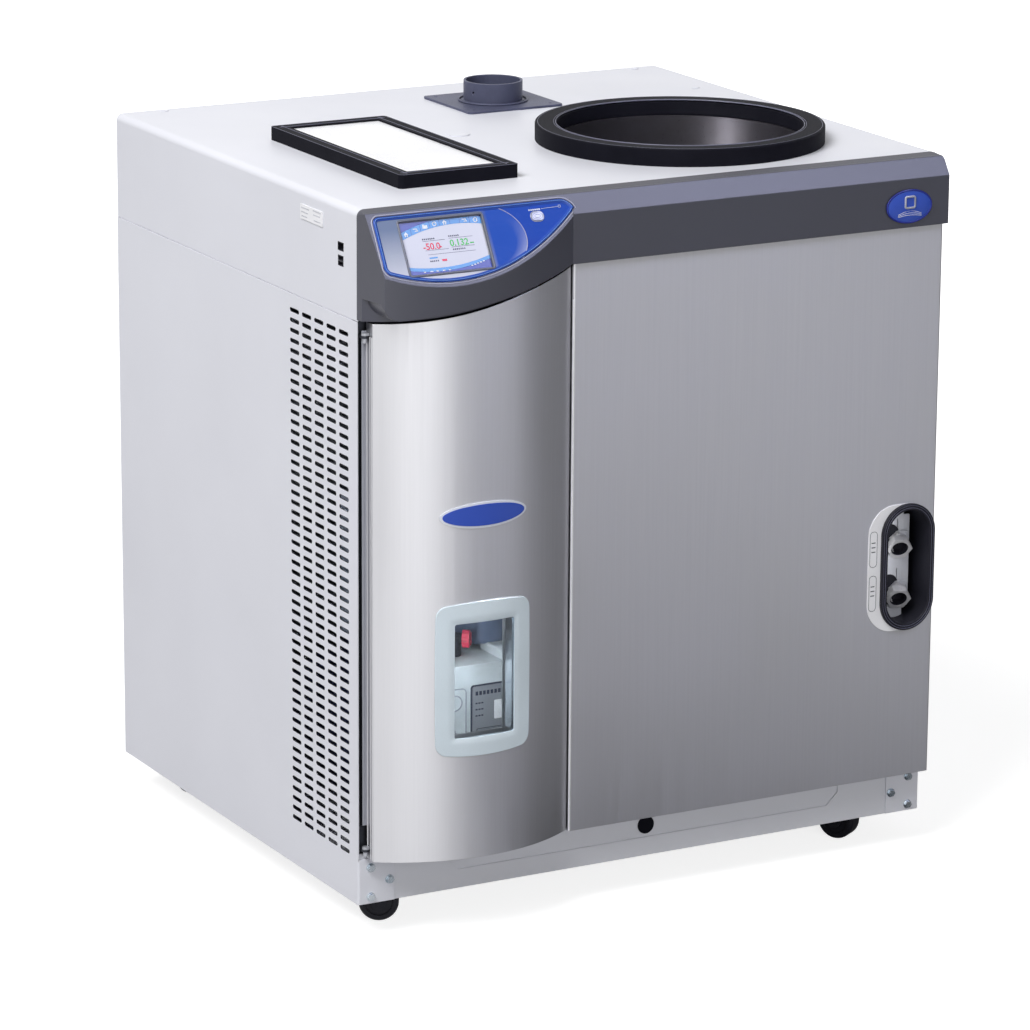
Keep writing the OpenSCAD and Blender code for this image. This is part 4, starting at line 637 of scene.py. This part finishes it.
def display():
    half_w, half_h = 0.0543, 0.0328
    low, high, top = 0.00002, 0.0001, 0.0002             # heights of the printed layers
    seam, ink = 0.00016, 0.00012                         # tops of the field's seams and of the readings
    here = Place(FACE.at(SCREEN_U, SCREEN_V, -0.0025), FACE.u, FACE.v)

    def crest(x):
        return 0.78 - 0.24 * (x - 0.35) ** 2

    def brow(x):
        return min(0.995, crest(x) + 0.27)

    def keel(x):
        return -0.80 + 0.20 * (x + 0.2) ** 2

    def sole(x):
        return keel(x) - 0.13

    def band(f, g):
        """A plate between two curves, left out where they meet."""
        run = []
        for c in [(x * half_w, f(x) * half_h, g(x) * half_h) for x in (-1 + k / 22 for k in range(45))] + [None]:
            if c and c[2] - c[1] > 0.0002:
                run.append(c)
            else:
                if len(run) > 1:
                    strip(here, run, low, high)
                run = []

    def cell(x0, x1, y0, y1, z0, z1):
        """A bar given in shares of the display's half sizes."""
        bar(here, x0 * half_w, x1 * half_w, y0 * half_h, y1 * half_h, z0, z1)

    band(crest, brow)
    band(sole, keel)
    cell(-0.45, -0.25, -0.44, -0.38, low, high)
    piece("display_bands", "screen_sky")
    band(brow, lambda x: 0.995)
    band(lambda x: -0.995, sole)
    for x in (-0.74, -0.5, -0.26, -0.02, 0.24, 0.48, 0.72):
        cell(x - 0.004, x + 0.004, crest(x) + 0.02, min(0.99, crest(x) + 0.25), high, seam)
    piece("display_field", "screen_navy")
    # small pictograms, each with its bars, and footer dashes
    house, beams, folder, dial = (
        ((-0.0021, -0.0006, -0.0026, 0), (0.0006, 0.0021, -0.0026, 0)),
        ((-0.0031, 0.0022, 0.0010, 0.0021), (-0.0011, 0.0031, -0.0016, -0.0005), (0.0014, 0.0024, -0.0005, 0.0010)),
        ((-0.0031, -0.0005, 0.0018, 0.0027),), ((-0.0003, 0.0003, 0, 0.0015),))
    for x, kind in ((-0.87, house), (-0.62, beams), (-0.38, folder), (-0.14, dial), (0.11, house), (0.6, beams),
                    (0.86, dial)):
        a, b = x * half_w, (min(crest(x), 0.74) + 0.125) * half_h
        if kind is house:
            prism([(a + 0.0031, b), (a, b + 0.0031), (a - 0.0031, b)], here, high, top)
        elif kind is folder:
            prism(round_box(0.0066, 0.0042, 0.0006, 3, (a, b - 0.0003)), here, high, top)
        elif kind is dial:
            cord(here, oval(0.0048, 0.0048, 20, (a, b)), 0.00015, 0.0006)
        for a0, a1, b0, b1 in kind:
            bar(here, a + a0, a + a1, b + b0, b + b1, high, top)
    for k, w in enumerate((0.04, 0.07, 0.05, 0.06, 0.05)):
        x = -0.66 + 0.15 * k
        cell(x, x + w, -0.93, -0.89, high, top)
    for k in range(5):
        x = 0.5 + 0.075 * k
        cell(x, x + 0.045, -0.86 + 0.03 * k, -0.82 + 0.03 * k, high, top)
    piece("display_marks", "line_white")
    # readings: plain numbers with a mark or two
    for name, text, x, y, marks in (
            ("red", "-50.0", -0.54, -0.09, ((-0.13, -0.09, -0.05, 0.0), (-0.16, -0.04, -0.57, -0.49))),
            ("green", "0.132", 0.12, -0.04, ((0.60, 0.70, -0.01, 0.04),))):
        digits(text, here, x * half_w, y * half_h, 0.0112, low, ink)
        for mark in marks:
            cell(*mark, low, ink)
        piece("reading_" + name, "screen_" + name)
    # rules, and lines of dashes in place of words
    for x0, x1, y in ((-0.52, 0.02, 0.235), (0.12, 0.70, 0.26), (-0.50, 0.06, -0.12), (0.14, 0.70, -0.08),
                      (-0.46, 0.70, -0.28)):
        cell(x0, x1, y - 0.007, y + 0.007, low, high)
    for x0, y, count in ((-0.52, 0.31, 7), (0.12, 0.34, 6), (0.16, -0.17, 7), (-0.45, -0.53, 5)):
        for k in range(count):
            x = x0 + 0.045 * k
            cell(x, x + 0.03, y - 0.028, y + 0.028, low, high)
    piece("display_rules", "screen_ink")


# ---- Door: badge, hems, window
skin_lo, skin_hi = box("door_skin")
DOOR_MID = (skin_lo.x + skin_hi.x) / 2
rise = FRONT - 0.018 - skin_lo.y
DOOR_R = ((skin_hi.x - skin_lo.x) ** 2 / 4 + rise * rise) / (2 * rise)
DOOR_CY = skin_lo.y + DOOR_R


def bowed(w, h, bow_x, bow_z, r):
    """Outline of a rounded panel whose four sides bow outwards, given by its half sizes."""
    n, nc = 20, 7                            # steps along a side and round a corner
    c = Vector((w, h))
    d1, d2 = Vector((2 * bow_x / h, -1)).normalized(), Vector((-1, 2 * bow_z / w)).normalized()
    half = math.acos(max(-1, min(1, d1.dot(d2)))) / 2
    reach = r / math.tan(half)
    t1, t2 = c + d1 * reach, c + d2 * reach
    centre = c + (d1 + d2).normalized() * (r / math.sin(half))
    a1, a2 = (math.atan2(t.y - centre.y, t.x - centre.x) for t in (t1, t2))
    side = [(w + bow_x * (1 - (z / h) ** 2), z) for z in (-t1.y + 2 * t1.y * k / n for k in range(n + 1))]
    corner = [(centre.x + r * math.cos(a), centre.y + r * math.sin(a))
              for a in (a1 + (a2 - a1) * k / nc for k in range(1, nc))]
    top = [(x, h + bow_z * (1 - (x / w) ** 2)) for x in (t2.x - 2 * t2.x * k / n for k in range(n + 1))]
    half_turn = side + corner + top + [(-a, b) for a, b in corner[::-1]]
    return half_turn + [(-a, -b) for a, b in half_turn]


def on_door(x, z, out):
    """A point that stands out from the door's skin."""
    a = math.asin((x - DOOR_MID) / DOOR_R)
    return Vector((DOOR_MID + (DOOR_R + out) * math.sin(a), DOOR_CY - (DOOR_R + out) * math.cos(a), z))


def door_cord(outline, out, radius, sides):
    """A thin rod laid on the door's skin along a closed outline."""
    tube([on_door(x, z, out) for x, z in outline], radius, sides, closed=True, up=Vector((0, -1, 0)))


def door_plate(x_mid, z_mid, w, h, out0, out1):
    """A thin oval plate that follows the door's skin."""
    rings = []
    for k in range(1, 48):
        t = -math.cos(math.pi * k / 48)
        x, reach = x_mid + t * w / 2, math.sqrt(1 - t * t) * h / 2
        cuts = [z_mid - reach + 2 * reach * j / 6 for j in range(7)]
        rings.append([on_door(x, c, out0) for c in cuts] + [on_door(x, c, out1) for c in cuts[::-1]])
    rings_to(rings, False)


def door_pieces():
    badge = mid("door_badge") + 0.004 * UP
    door_plate(badge.x, badge.z, 0.115, 0.0318, 0.0002, 0.0015)
    piece("badge_rim", "line_white", "door")
    door_plate(badge.x, badge.z, 0.1085, 0.0262, 0.0012, 0.0020)
    field = piece("badge_field", "badge_field", "door")
    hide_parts("door_badge")
    # the folded hem along the door's hinge side, in two layers
    hem_h, hem_z = 0.612, 0.456
    for x0, x1, y in ((0.0064, 0.0034, -0.3136), (0.0032, 0.0004, -0.3142)):
        layer = Place((skin_lo.x - (x0 + x1) / 2, y, hem_z))
        prism(round_box(x0 - x1, hem_h, 0.0006, 4), layer, -0.0005, 0.0005)
    piece("door_hem", "hem_steel", "door")
    # the window's border: bowed sides, a fine pale line round it
    m = mid("door_window_frame")
    p_lo, p_hi = box("door_window")
    pane, pane_w, pane_h = (p_lo + p_hi) / 2, p_hi.x - p_lo.x, p_hi.z - p_lo.z
    outer = bowed(0.0625, 0.092, 0.0010, 0.0045, 0.015)
    inner = [(a, b + pane.z - m.z) for a, b in bowed(pane_w / 2, pane_h / 2, 0.0002, 0.0002, 0.003)]
    # across the border: share of the way in, and height above the skin
    steps = [(0.0, 0.0002), (0.0, 0.0012), (0.02, 0.0017), (0.3, 0.0017), (0.6, 0.0017), (0.97, 0.0017),
             (1.0, 0.0013), (1.0, 0.0002)]
    rings_to([[on_door(m.x + a[0] + (b[0] - a[0]) * f, m.z + a[1] + (b[1] - a[1]) * f, h) for f, h in steps]
              for a, b in zip(outer, inner)], True)
    border = piece("window_border", "window_border", body="door")
    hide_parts("door_window_frame")
    door_cord([(m.x + x * 0.993, m.z + z * 0.995) for x, z in outer], 0.0013, 0.0004, 8)
    piece("window_edge", "window_border", body="door")
    # polished lining of the opening's right side
    back = Place((p_hi.x - 0.0004, on_door(p_hi.x, m.z, 0.0).y + 0.001, pane.z), (0, 1, 0))
    prism(round_box(0.017, pane_h - 0.001, 0.0004, 3, (0.0095, 0)), back, -0.0006, 0.0)
    piece("window_lining", "polished", "door")
    door_cord(round_box(pane_w + 0.001, pane_h + 0.001, 0.003, at=(pane.x, pane.z)), 0.0012, 0.0007, 6)
    piece("pane_edge", "window_border", body="door")
    # folded hems down the door's left return
    for y, radius in ((0.0165, 0.0009), (0.0115, 0.0007), (0.0035, 0.0008)):
        rod(skin_lo.x - 0.0002, FRONT - y, skin_lo.z + 0.002, skin_hi.z - skin_lo.z - 0.062, 8, radius)
    piece("door_hems", "stainless", body="door")


# ---- Fascia badge, drain recess, pump, panels
def fascia_badge():
    lo, hi = box("fascia_badge")
    here = Place(((lo.x + hi.x) / 2, lo.y, (lo.z + hi.z) / 2))
    w, h = hi.x - lo.x, hi.z - lo.z
    bead(oval(w, h, 72), here, [(0.0, -0.0008), (-0.0004, 0.0002), (0.0005, 0.0009), (0.0016, 0.0006),
                                (0.0020, -0.0003), (0.0014, -0.0010)])
    piece("badge_ring", "badge_blue")
    rings_to([[here.at(a, b, z) for a, b in oval(w - 0.0032 - 2 * d, h - 0.0032 - 2 * d, 72)] for d, z in
              ((0.0, -0.0006), (0.0, 0.0002), (0.0030, 0.0009), (0.008, 0.0014), (0.014, 0.0017))], False, -1)
    dome = piece("badge_dome", "badge_field", sharp=60)
    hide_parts("fascia_badge")
    bead(round_box(0.0165, 0.0165, 0.0035, at=(0.0, 0.0055)), here,
         [(0.0, 0.0008), (0.0, 0.0023), (0.0007, 0.0029), (0.0022, 0.0029), (0.0026, 0.0022), (0.0026, 0.0008)])
    piece("badge_frame", "button_silver")
    for k in range(3):
        tube([here.at(-0.017 + 0.034 * t / 12,
                      -0.0095 - 0.0014 * k + 0.004 * math.sin(math.pi * t / 12) * (1 - 0.3 * k), 0.0014)
              for t in range(13)], 0.00035, 6)
    piece("badge_waves", "line_white")


DRAIN_YAW, DRAIN_DIP = math.radians(17), math.radians(25.5)  # the fittings point to the left and down
DRAIN_RISE = 0.0329                                          # of each fitting above or below the recess's middle


def drain():
    """Plain outlines on the drain's white plate; beads on its bezel, with pale lines on them as painted highlights;
    and painted shade: black linings in the fittings' bores and black plates behind the fittings.
    """
    plate = box("drain_plate")[0]
    here = Place((plate.x + 0.0075, plate.y, 0))
    for z in (0.410, 0.3525):
        cord(here, round_box(0.0105, 0.046, 0.0045, 6, (0, z)), 0.0, 0.0003)
    for k in range(3):
        for z in (0.418, 0.361):
            bar(here, -0.003, 0.0028, z - 0.006 * k, z + 0.0012 - 0.006 * k, -0.0002, 0.0001)
    piece("drain_marks", "screen_ink")
    lo, hi = box("drain_housing")
    cx, cz, w, h = (lo.x + hi.x) / 2, (lo.z + hi.z) / 2, hi.x - lo.x, hi.z - lo.z
    face = Place((cx, lo.y, cz))
    bead(round_box(w - 0.0002, h - 0.0002, w / 2 - 0.0002, 18), face,
         [(0.0, -0.0006), (0.0003, 0.0005), (0.0010, 0.0009), (0.0018, 0.0006), (0.0021, -0.0004)])
    bead(round_box(w - 0.0136, h - 0.0136, w / 2 - 0.007, 18), face,
         [(0.0, -0.0006), (0.0002, 0.0004), (0.0007, 0.0006), (0.0012, 0.0001), (0.0013, -0.0010)])
    piece("drain_bezel_beads", "black_plastic")
    # painted highlights: pale lines on the bezel's beads
    for d in (0.0048, 0.0108):
        cord(face, round_box(w - d, h - d, w / 2 - d / 2, 18), 0.0003, 0.00035)
    piece("drain_bezel_highlights", "edge_highlight_grey")
    # black linings in the fittings' bores, painted shade where the bores are dark, each with two bright turns of
    # thread
    front = plate.y + 0.0008
    way = Vector((-math.sin(DRAIN_YAW) * math.cos(DRAIN_DIP),
                  -math.cos(DRAIN_YAW) * math.cos(DRAIN_DIP), -math.sin(DRAIN_DIP)))
    side = Vector((math.cos(DRAIN_YAW), -math.sin(DRAIN_YAW), 0))
    for name, dz in (("collector", DRAIN_RISE), ("vacuum", -DRAIN_RISE)):
        bore = Place((cx - 0.001, front + 0.014, cz - 0.014 + dz), side, way.cross(side))
        wall, inside, core = (oval(d, d, 40) for d in (0.0218, 0.0204, 0.00408))
        rings_to([[bore.at(*p, h) for p, h in ((a, -0.0011), (a, -0.0128), (c, -0.0128), (c, -0.0124),
                                               (b, -0.0120), (b, -0.0011))]
                  for a, b, c in zip(wall, inside, core)], True)
        piece("bore_painted_shade_" + name, "black_plastic")
        for radius, depth in ((0.0092, -0.0035), (0.0089, -0.0065)):
            tube([bore.at(radius * math.cos(a), radius * math.sin(a), depth)
                  for a in (math.radians(75 + 150 * k / 24) for k in range(25))], 0.0007, 8, up=bore.n)
        piece("bore_threads_" + name, "nickel")
    # the bracket's right wing, and black plates behind the fittings: painted shade for the openings there
    plane = Place((cx, front + 0.027, cz))
    prism(round_box(0.0095, 0.120, 0.002, 4, (0.0160, 0)), plane, -0.0012, 0.0002)
    piece("drain_bracket_wing", "label_grey")
    for dz in (DRAIN_RISE, -DRAIN_RISE):
        prism(round_box(0.034, 0.036, 0.014, 8, (-0.0115, dz - 0.0015)), plane, 0.0001, 0.0004)
    piece("drain_opening_shade", "black_plastic")


def pump_plates():
    """Bare plates and fine lines on the front of the pump."""
    face = Place((0, box("pump_case")[0].y + 0.003, 0))
    rim = round_box(0.070, 0.094, 0.004, 5, (-0.192, 0.243))
    prism(rim, face, -0.0002, 0.0012, 0.0004)
    piece("pump_plate", "plate_grey", bevel=0.0003)
    bead(rim, face, [(0.0, 0.0002), (0.0, 0.0016), (0.0004, 0.0020), (0.0016, 0.0020), (0.0019, 0.0010)])
    bead(round_box(0.046, 0.024, 0.002, 4, (-0.196, 0.222)), face,
         [(0.0, 0.0010), (0.0, 0.0016), (0.0006, 0.0018), (0.0010, 0.0010)])
    for k in range(11):
        bar(face, -0.2205 + 0.0052 * k, -0.2170 + 0.0052 * k, 0.2765, 0.2815, 0.0010, 0.0015)
    for k in range(3):
        for j in range(3):
            bar(face, -0.2205 + 0.004 * j, -0.2177 + 0.004 * j, 0.2655 - 0.008 * k, 0.2672 - 0.008 * k,
                0.0010, 0.0014)
    piece("pump_plate_lines", "screen_ink")
    for w, h, at in ((0.031, 0.024, (-0.1790, 0.2555)), (0.020, 0.018, (-0.186, 0.2220))):
        prism(round_box(w, h, 0.001, 3, at), face, 0.0010, 0.0016)
    piece("pump_plate_fields", "label_white", bevel=0.0002)
    bead(round_box(0.064, 0.094, 0.006, 6, (-0.2645, 0.241)), face,
         [(0.0, -0.0002), (0.0002, 0.0009), (0.0006, 0.0012), (0.0012, 0.0008), (0.0013, -0.0002)])
    for d, at in ((0.019, (-0.2485, 0.270)), (0.03, (-0.262, 0.228))):
        cord(face, oval(d, d, 36, at), 0.0006, 0.0008, 8)
    piece("pump_cover_lines", "plate_grey")


def pump_block():
    """The pump's front cover, which stands out past the case on the right, and the ribbed shroud behind."""
    lo, hi = box("pump_case")
    face = Place(((lo.x + hi.x) / 2 + 0.007, lo.y + 0.062, (lo.z + hi.z) / 2 - 0.001))
    prism(round_box(0.044, hi.z - lo.z - 0.004, 0.004, 5, (hi.x - face.o.x - 0.003, 0)), face, 0.0, 0.0618, 0.0015)
    piece("pump_block", "pump_grey", bevel=0.0006)
    ribs = Place((-0.268, -0.118, 0.425))
    foot, head, back, rib_out, rib_w = -0.0945, 0.085, -0.003, 0.0035, 0.0075
    rings_to([[ribs.at(a, foot, back), ribs.at(a, foot, out), ribs.at(a, head, out), ribs.at(a, head, back)]
              for a, out in ((-0.060 + rib_w * k, rib_out * (k % 2)) for k in range(17))], False)
    piece("pump_shroud", "shroud_grey")


def panel_edge():
    """A white rod along the front panel's left edge: a painted highlight on its rounded fold."""
    lo, hi = box("front_panel")
    rod(lo.x + 0.0004, lo.y + 0.0004, lo.z + 0.001, hi.z - lo.z - 0.046, 12, 0.0008, 10)
    piece("panel_fold_highlight", "insert_white")


def rear_screws():
    """Pan-head screws round the rear panel."""
    lo, hi = box("rear_panel")
    head = [(0.0002, -0.0004), (0.0002, 0.0024), (0.0016, 0.0023), (0.0030, 0.0017), (0.0038, 0.0008), (0.0040, 0.0),
            (0.0040, -0.0004)]
    spots = [(lo.x + 0.02 + (hi.x - lo.x - 0.04) * k / 4, z) for k in range(5) for z in (lo.z + 0.016, hi.z - 0.016)]
    spots += [(x, lo.z + (hi.z - lo.z) * k / 5) for k in range(1, 5) for x in (lo.x + 0.02, hi.x - 0.02)]
    for x, z in spots:
        lathe(head, (x, hi.y, z), (0, 1, 0), 20)
    piece("rear_screws", "zinc")


VENT_COLUMNS, VENT_ROWS = 5, 52
VENT_W, VENT_H = 0.0244, 0.0052
VENT_Y, VENT_Z = FRONT + 0.0348, 0.7527                      # the middle of the front vent in the top row
VENT_STEP_Y, VENT_STEP_Z = 0.0329, 0.01261


def side_marks():
    """A plain printed label high on the left side, and painted shade in both sides' vents: a black rim round the
    inside of every slot.
    """
    left = Place((LEFT - 0.00005, 0, 0), (0, -1, 0))
    prism(round_box(0.060, 0.0185, 0.001, 3, (0.192, 0.8785)), left, -0.0008, 0.00012)
    piece("side_label", "label_white")
    dash, gap = 0.0022, 0.0009
    for a0, a1, b in ((0.165, 0.188, 0.8835), (0.165, 0.184, 0.8785), (0.166, 0.182, 0.8735), (0.197, 0.219, 0.8850),
                      (0.197, 0.216, 0.8800), (0.199, 0.219, 0.8735)):
        for k in range(int((a1 - a0) / (dash + gap))):
            a = a0 + (dash + gap) * k
            bar(left, a, a + dash, b - 0.0007, b + 0.0007, 0.0001, 0.0003)
    piece("side_label_marks", "label_grey")
    # painted shade: black rims in the vent slots, from just above the panel into the slot walls
    for side, way in (("left", 1), ("right", -1)):
        face = Place((way * LEFT, 0, 0), (0, -way, 0))
        for i in range(VENT_COLUMNS):
            for j in range(VENT_ROWS):
                slot = round_box(VENT_W, VENT_H, VENT_H / 2, 4,
                                 (-way * (VENT_Y + VENT_STEP_Y * i), VENT_Z - VENT_STEP_Z * j))
                inner = inset(slot, 0.0003)
                rows = ((slot, 0.00006), (inner, 0.00006), (inner, -0.0014), (slot, -0.0014))
                rings_to([[face.at(a, b, h) for a, b in line] for line, h in rows], True)
        piece("vent_painted_shade_" + side, "black_plastic")


def top_lines():
    """Pale lines along the edges of the sealing ring and the pad's frame, painted highlights; and a bead round the
    port.
    """
    def level(at, z):
        return Place((at.x, at.y, z), v=(0, 1, 0))

    ring, top = mid("sealing_ring"), box("sealing_ring")[1].z
    # painted highlights: pale rings on the sealing ring's edges
    for radius, sunk, thick in ((0.1560, 0.0002, 0.0006), (0.1585, 0.0001, 0.0004), (0.1785, 0.0002, 0.0004)):
        cord(level(ring, top - sunk), oval(2 * radius, 2 * radius, 144), 0, thick)
    piece("ring_edge_highlights", "edge_highlight_grey")
    # painted highlights: pale lines on the pad frame's edges
    lo, hi = box("pad_frame")
    pad = round_box(hi.x - lo.x, hi.y - lo.y, 0.006)
    for d, thick in ((0.0012, 0.0004), (0.0135, 0.0005)):
        cord(level((lo + hi) / 2, hi.z), inset(pad, d), -0.0001, thick)
    piece("pad_edge_highlights", "edge_highlight_grey")
    port = level(mid("port_flange"), box("port_flange")[0].z + 0.0042)
    cord(port, oval(0.089, 0.089, 96), 0, 0.0011, 8)
    piece("port_bead", "port_grey")


for build in (control_face, display, door_pieces, fascia_badge, drain, pump_plates, pump_block, panel_edge,
              rear_screws, side_marks, top_lines):
    build()


# ---- Studio: pale floor, white surround, soft lamps
def sheet(name, cells, size):
    """A flat grid in the material of the same name."""
    bm = bmesh.new()
    bmesh.ops.create_grid(bm, x_segments=cells, y_segments=cells, size=size)
    data = bpy.data.meshes.new(name)
    bm.to_mesh(data)
    bm.free()
    data.materials.append(M[name])
    return add(name, data)


def aimed(obj, at, aim, axis):
    """Puts an object at a point, with one of its axes towards another."""
    obj.location = at
    obj.rotation_euler = (Vector(aim) - Vector(at)).to_track_quat(axis, "Y").to_euler()


def hide(obj, *rays):
    for ray in rays:
        setattr(obj, "visible_" + ray, False)


def make_floor():
    s = Shader("floor")
    base = s.blend(s.spread(s.noise(40, 3), 0, 1), (0.46, 0.46, 0.462, 1), (0.45, 0.45, 0.452, 1))
    plain = s.node("BsdfDiffuse", Color=base, Roughness=1.0)
    away = s.node("VectorMath", "Value", {"operation": "LENGTH"}, _0=s.coords)
    seen = s.math("MULTIPLY", s.rays("Camera", "Transmission"), s.spread(away, 0.80, 1.0, 0.5, 4.5, smooth=True))
    glow = s.node("Emission", Color=(1, 1, 1, 1), Strength=seen)
    # in the brushed metal the floor darkens towards the cabinet, and less so on the left
    x = s.axis("X")
    ramp = s.spread(away, 0.05, 0.70, 0.4, 3.0)
    # along: how far right on the front panel the floor is seen
    along = s.math("ADD", x, s.math("MULTIPLY", s.math("SUBTRACT", s.axis("Y"), FRONT), 0.54))
    ramp = s.math("MULTIPLY", ramp, s.spread(along, 1.10, 1.46, -0.1, 0.4))
    ramp = s.math("MULTIPLY", ramp, s.spread(along, 1.0, 0.40, 0.45, 1.1, smooth=True))
    shone = s.math("MAXIMUM", ramp, s.spread(x, 1.0, 0.0, -0.55, 0.08, smooth=True))
    mirrored = s.node("Emission", Color=(1, 1, 1.02, 1), Strength=shone)
    lit = s.node("AddShader", _0=plain, _1=glow)
    s.surface(s.node("MixShader", _0=s.rays("Glossy"), _1=lit, _2=mirrored))
    floor = sheet("floor", 24, 20)


def make_card(name, at, aim, scale, level, colour=(1, 1, 1.02)):
    """A card that glossy surfaces reflect; nothing else sees it."""
    s = Shader(name)
    faint = s.spread(s.noise(1.5, 2), level * 0.96, level * 1.04)
    s.surface(s.node("Emission", Color=(*colour, 1), Strength=faint))
    card = sheet(name, 2, 1.0)
    card.scale = (*scale, 1)
    aimed(card, at, aim, "Z")
    hide(card, "camera", "diffuse", "shadow", "transmission")


def make_world(level):
    """A white surround that lights diffuse surfaces less than it shows."""
    s = Shader("studio", "World")
    bpy.context.scene.world = s.mat
    shown = s.spread(s.rays("Camera", "Glossy", "Transmission"), level, 1.0, 0, 1)
    s.surface(s.node("Background", Color=(1, 1, 1, 1), Strength=shown))


def lamp(name, at, aim, power, size, tall=None, unseen=()):
    """An area lamp, which the named kinds of ray don't see."""
    data = bpy.data.lights.new(name, "AREA")
    data.energy, data.size = power, size
    if tall:
        data.shape, data.size_y = "RECTANGLE", tall
    lit = add(name, data)
    aimed(lit, at, aim, "-Z")
    hide(lit, *unseen)


make_floor()
make_card("card_mid", (1.40, -3.05, 1.6), (-0.2, -0.3, 1.6), (1.1, 2.6), 0.60)
make_card("card_side", (2.75, -0.95, 1.6), (-0.2, -0.3, 1.6), (1.75, 2.6), 0.22)
make_card("card_top", (1.6, -2.55, 3.0), (0, -0.34, 0.88), (1.1, 0.8), 6.0, (0.9, 0.93, 1.28))
make_world(0.21)
lamp("key", (-3.7, -1.75, 5.4), (0, 0, 0.5), 430, 3.4)
lamp("front", (0.1, -4.3, 0.9), (0, -0.3, 0.4), 32, 2.0, unseen=("glossy",))
lamp("rear", (2.6, 4.2, 1.6), (0, 0.2, 0.5), 120, 3.0, unseen=("glossy",))
lamp("strip", (-1.15, -3.85, 1.2), (-0.25, -0.3, 0.45), 33, 2.2, 2.8, ("diffuse",))
# two in the pump's bay, low in front of the pump and high above it
lamp("bay", (-0.334, -0.340, 0.34), (-0.2, -0.262, 0.33), 0.42, 0.035, 0.15, ("camera", "glossy"))
lamp("bay", (-0.25, -0.335, 0.52), (-0.28, -0.12, 0.38), 0.9, 0.035, 0.15, ("camera", "glossy"))
# a tall lamp against the near wall of the collector chamber, for the band of light on its far wall
well = mid("sealing_ring")
lamp("well", (well.x - 0.122, well.y + 0.033, 0.80), (well.x + 0.12, well.y + 0.085, 0.80), 0.42, 0.03, 0.16,
     ("camera",))
# and one on the near wall of the drain's recess, for its fittings
lamp("recess", (box("drain_housing")[0].x + 0.0115, -0.3255, 0.382), (0.3640, -0.2990, 0.376), 0.019, 0.008, 0.12,
     ("camera", "glossy"))

bpy.context.scene.view_settings.view_transform = "Standard"
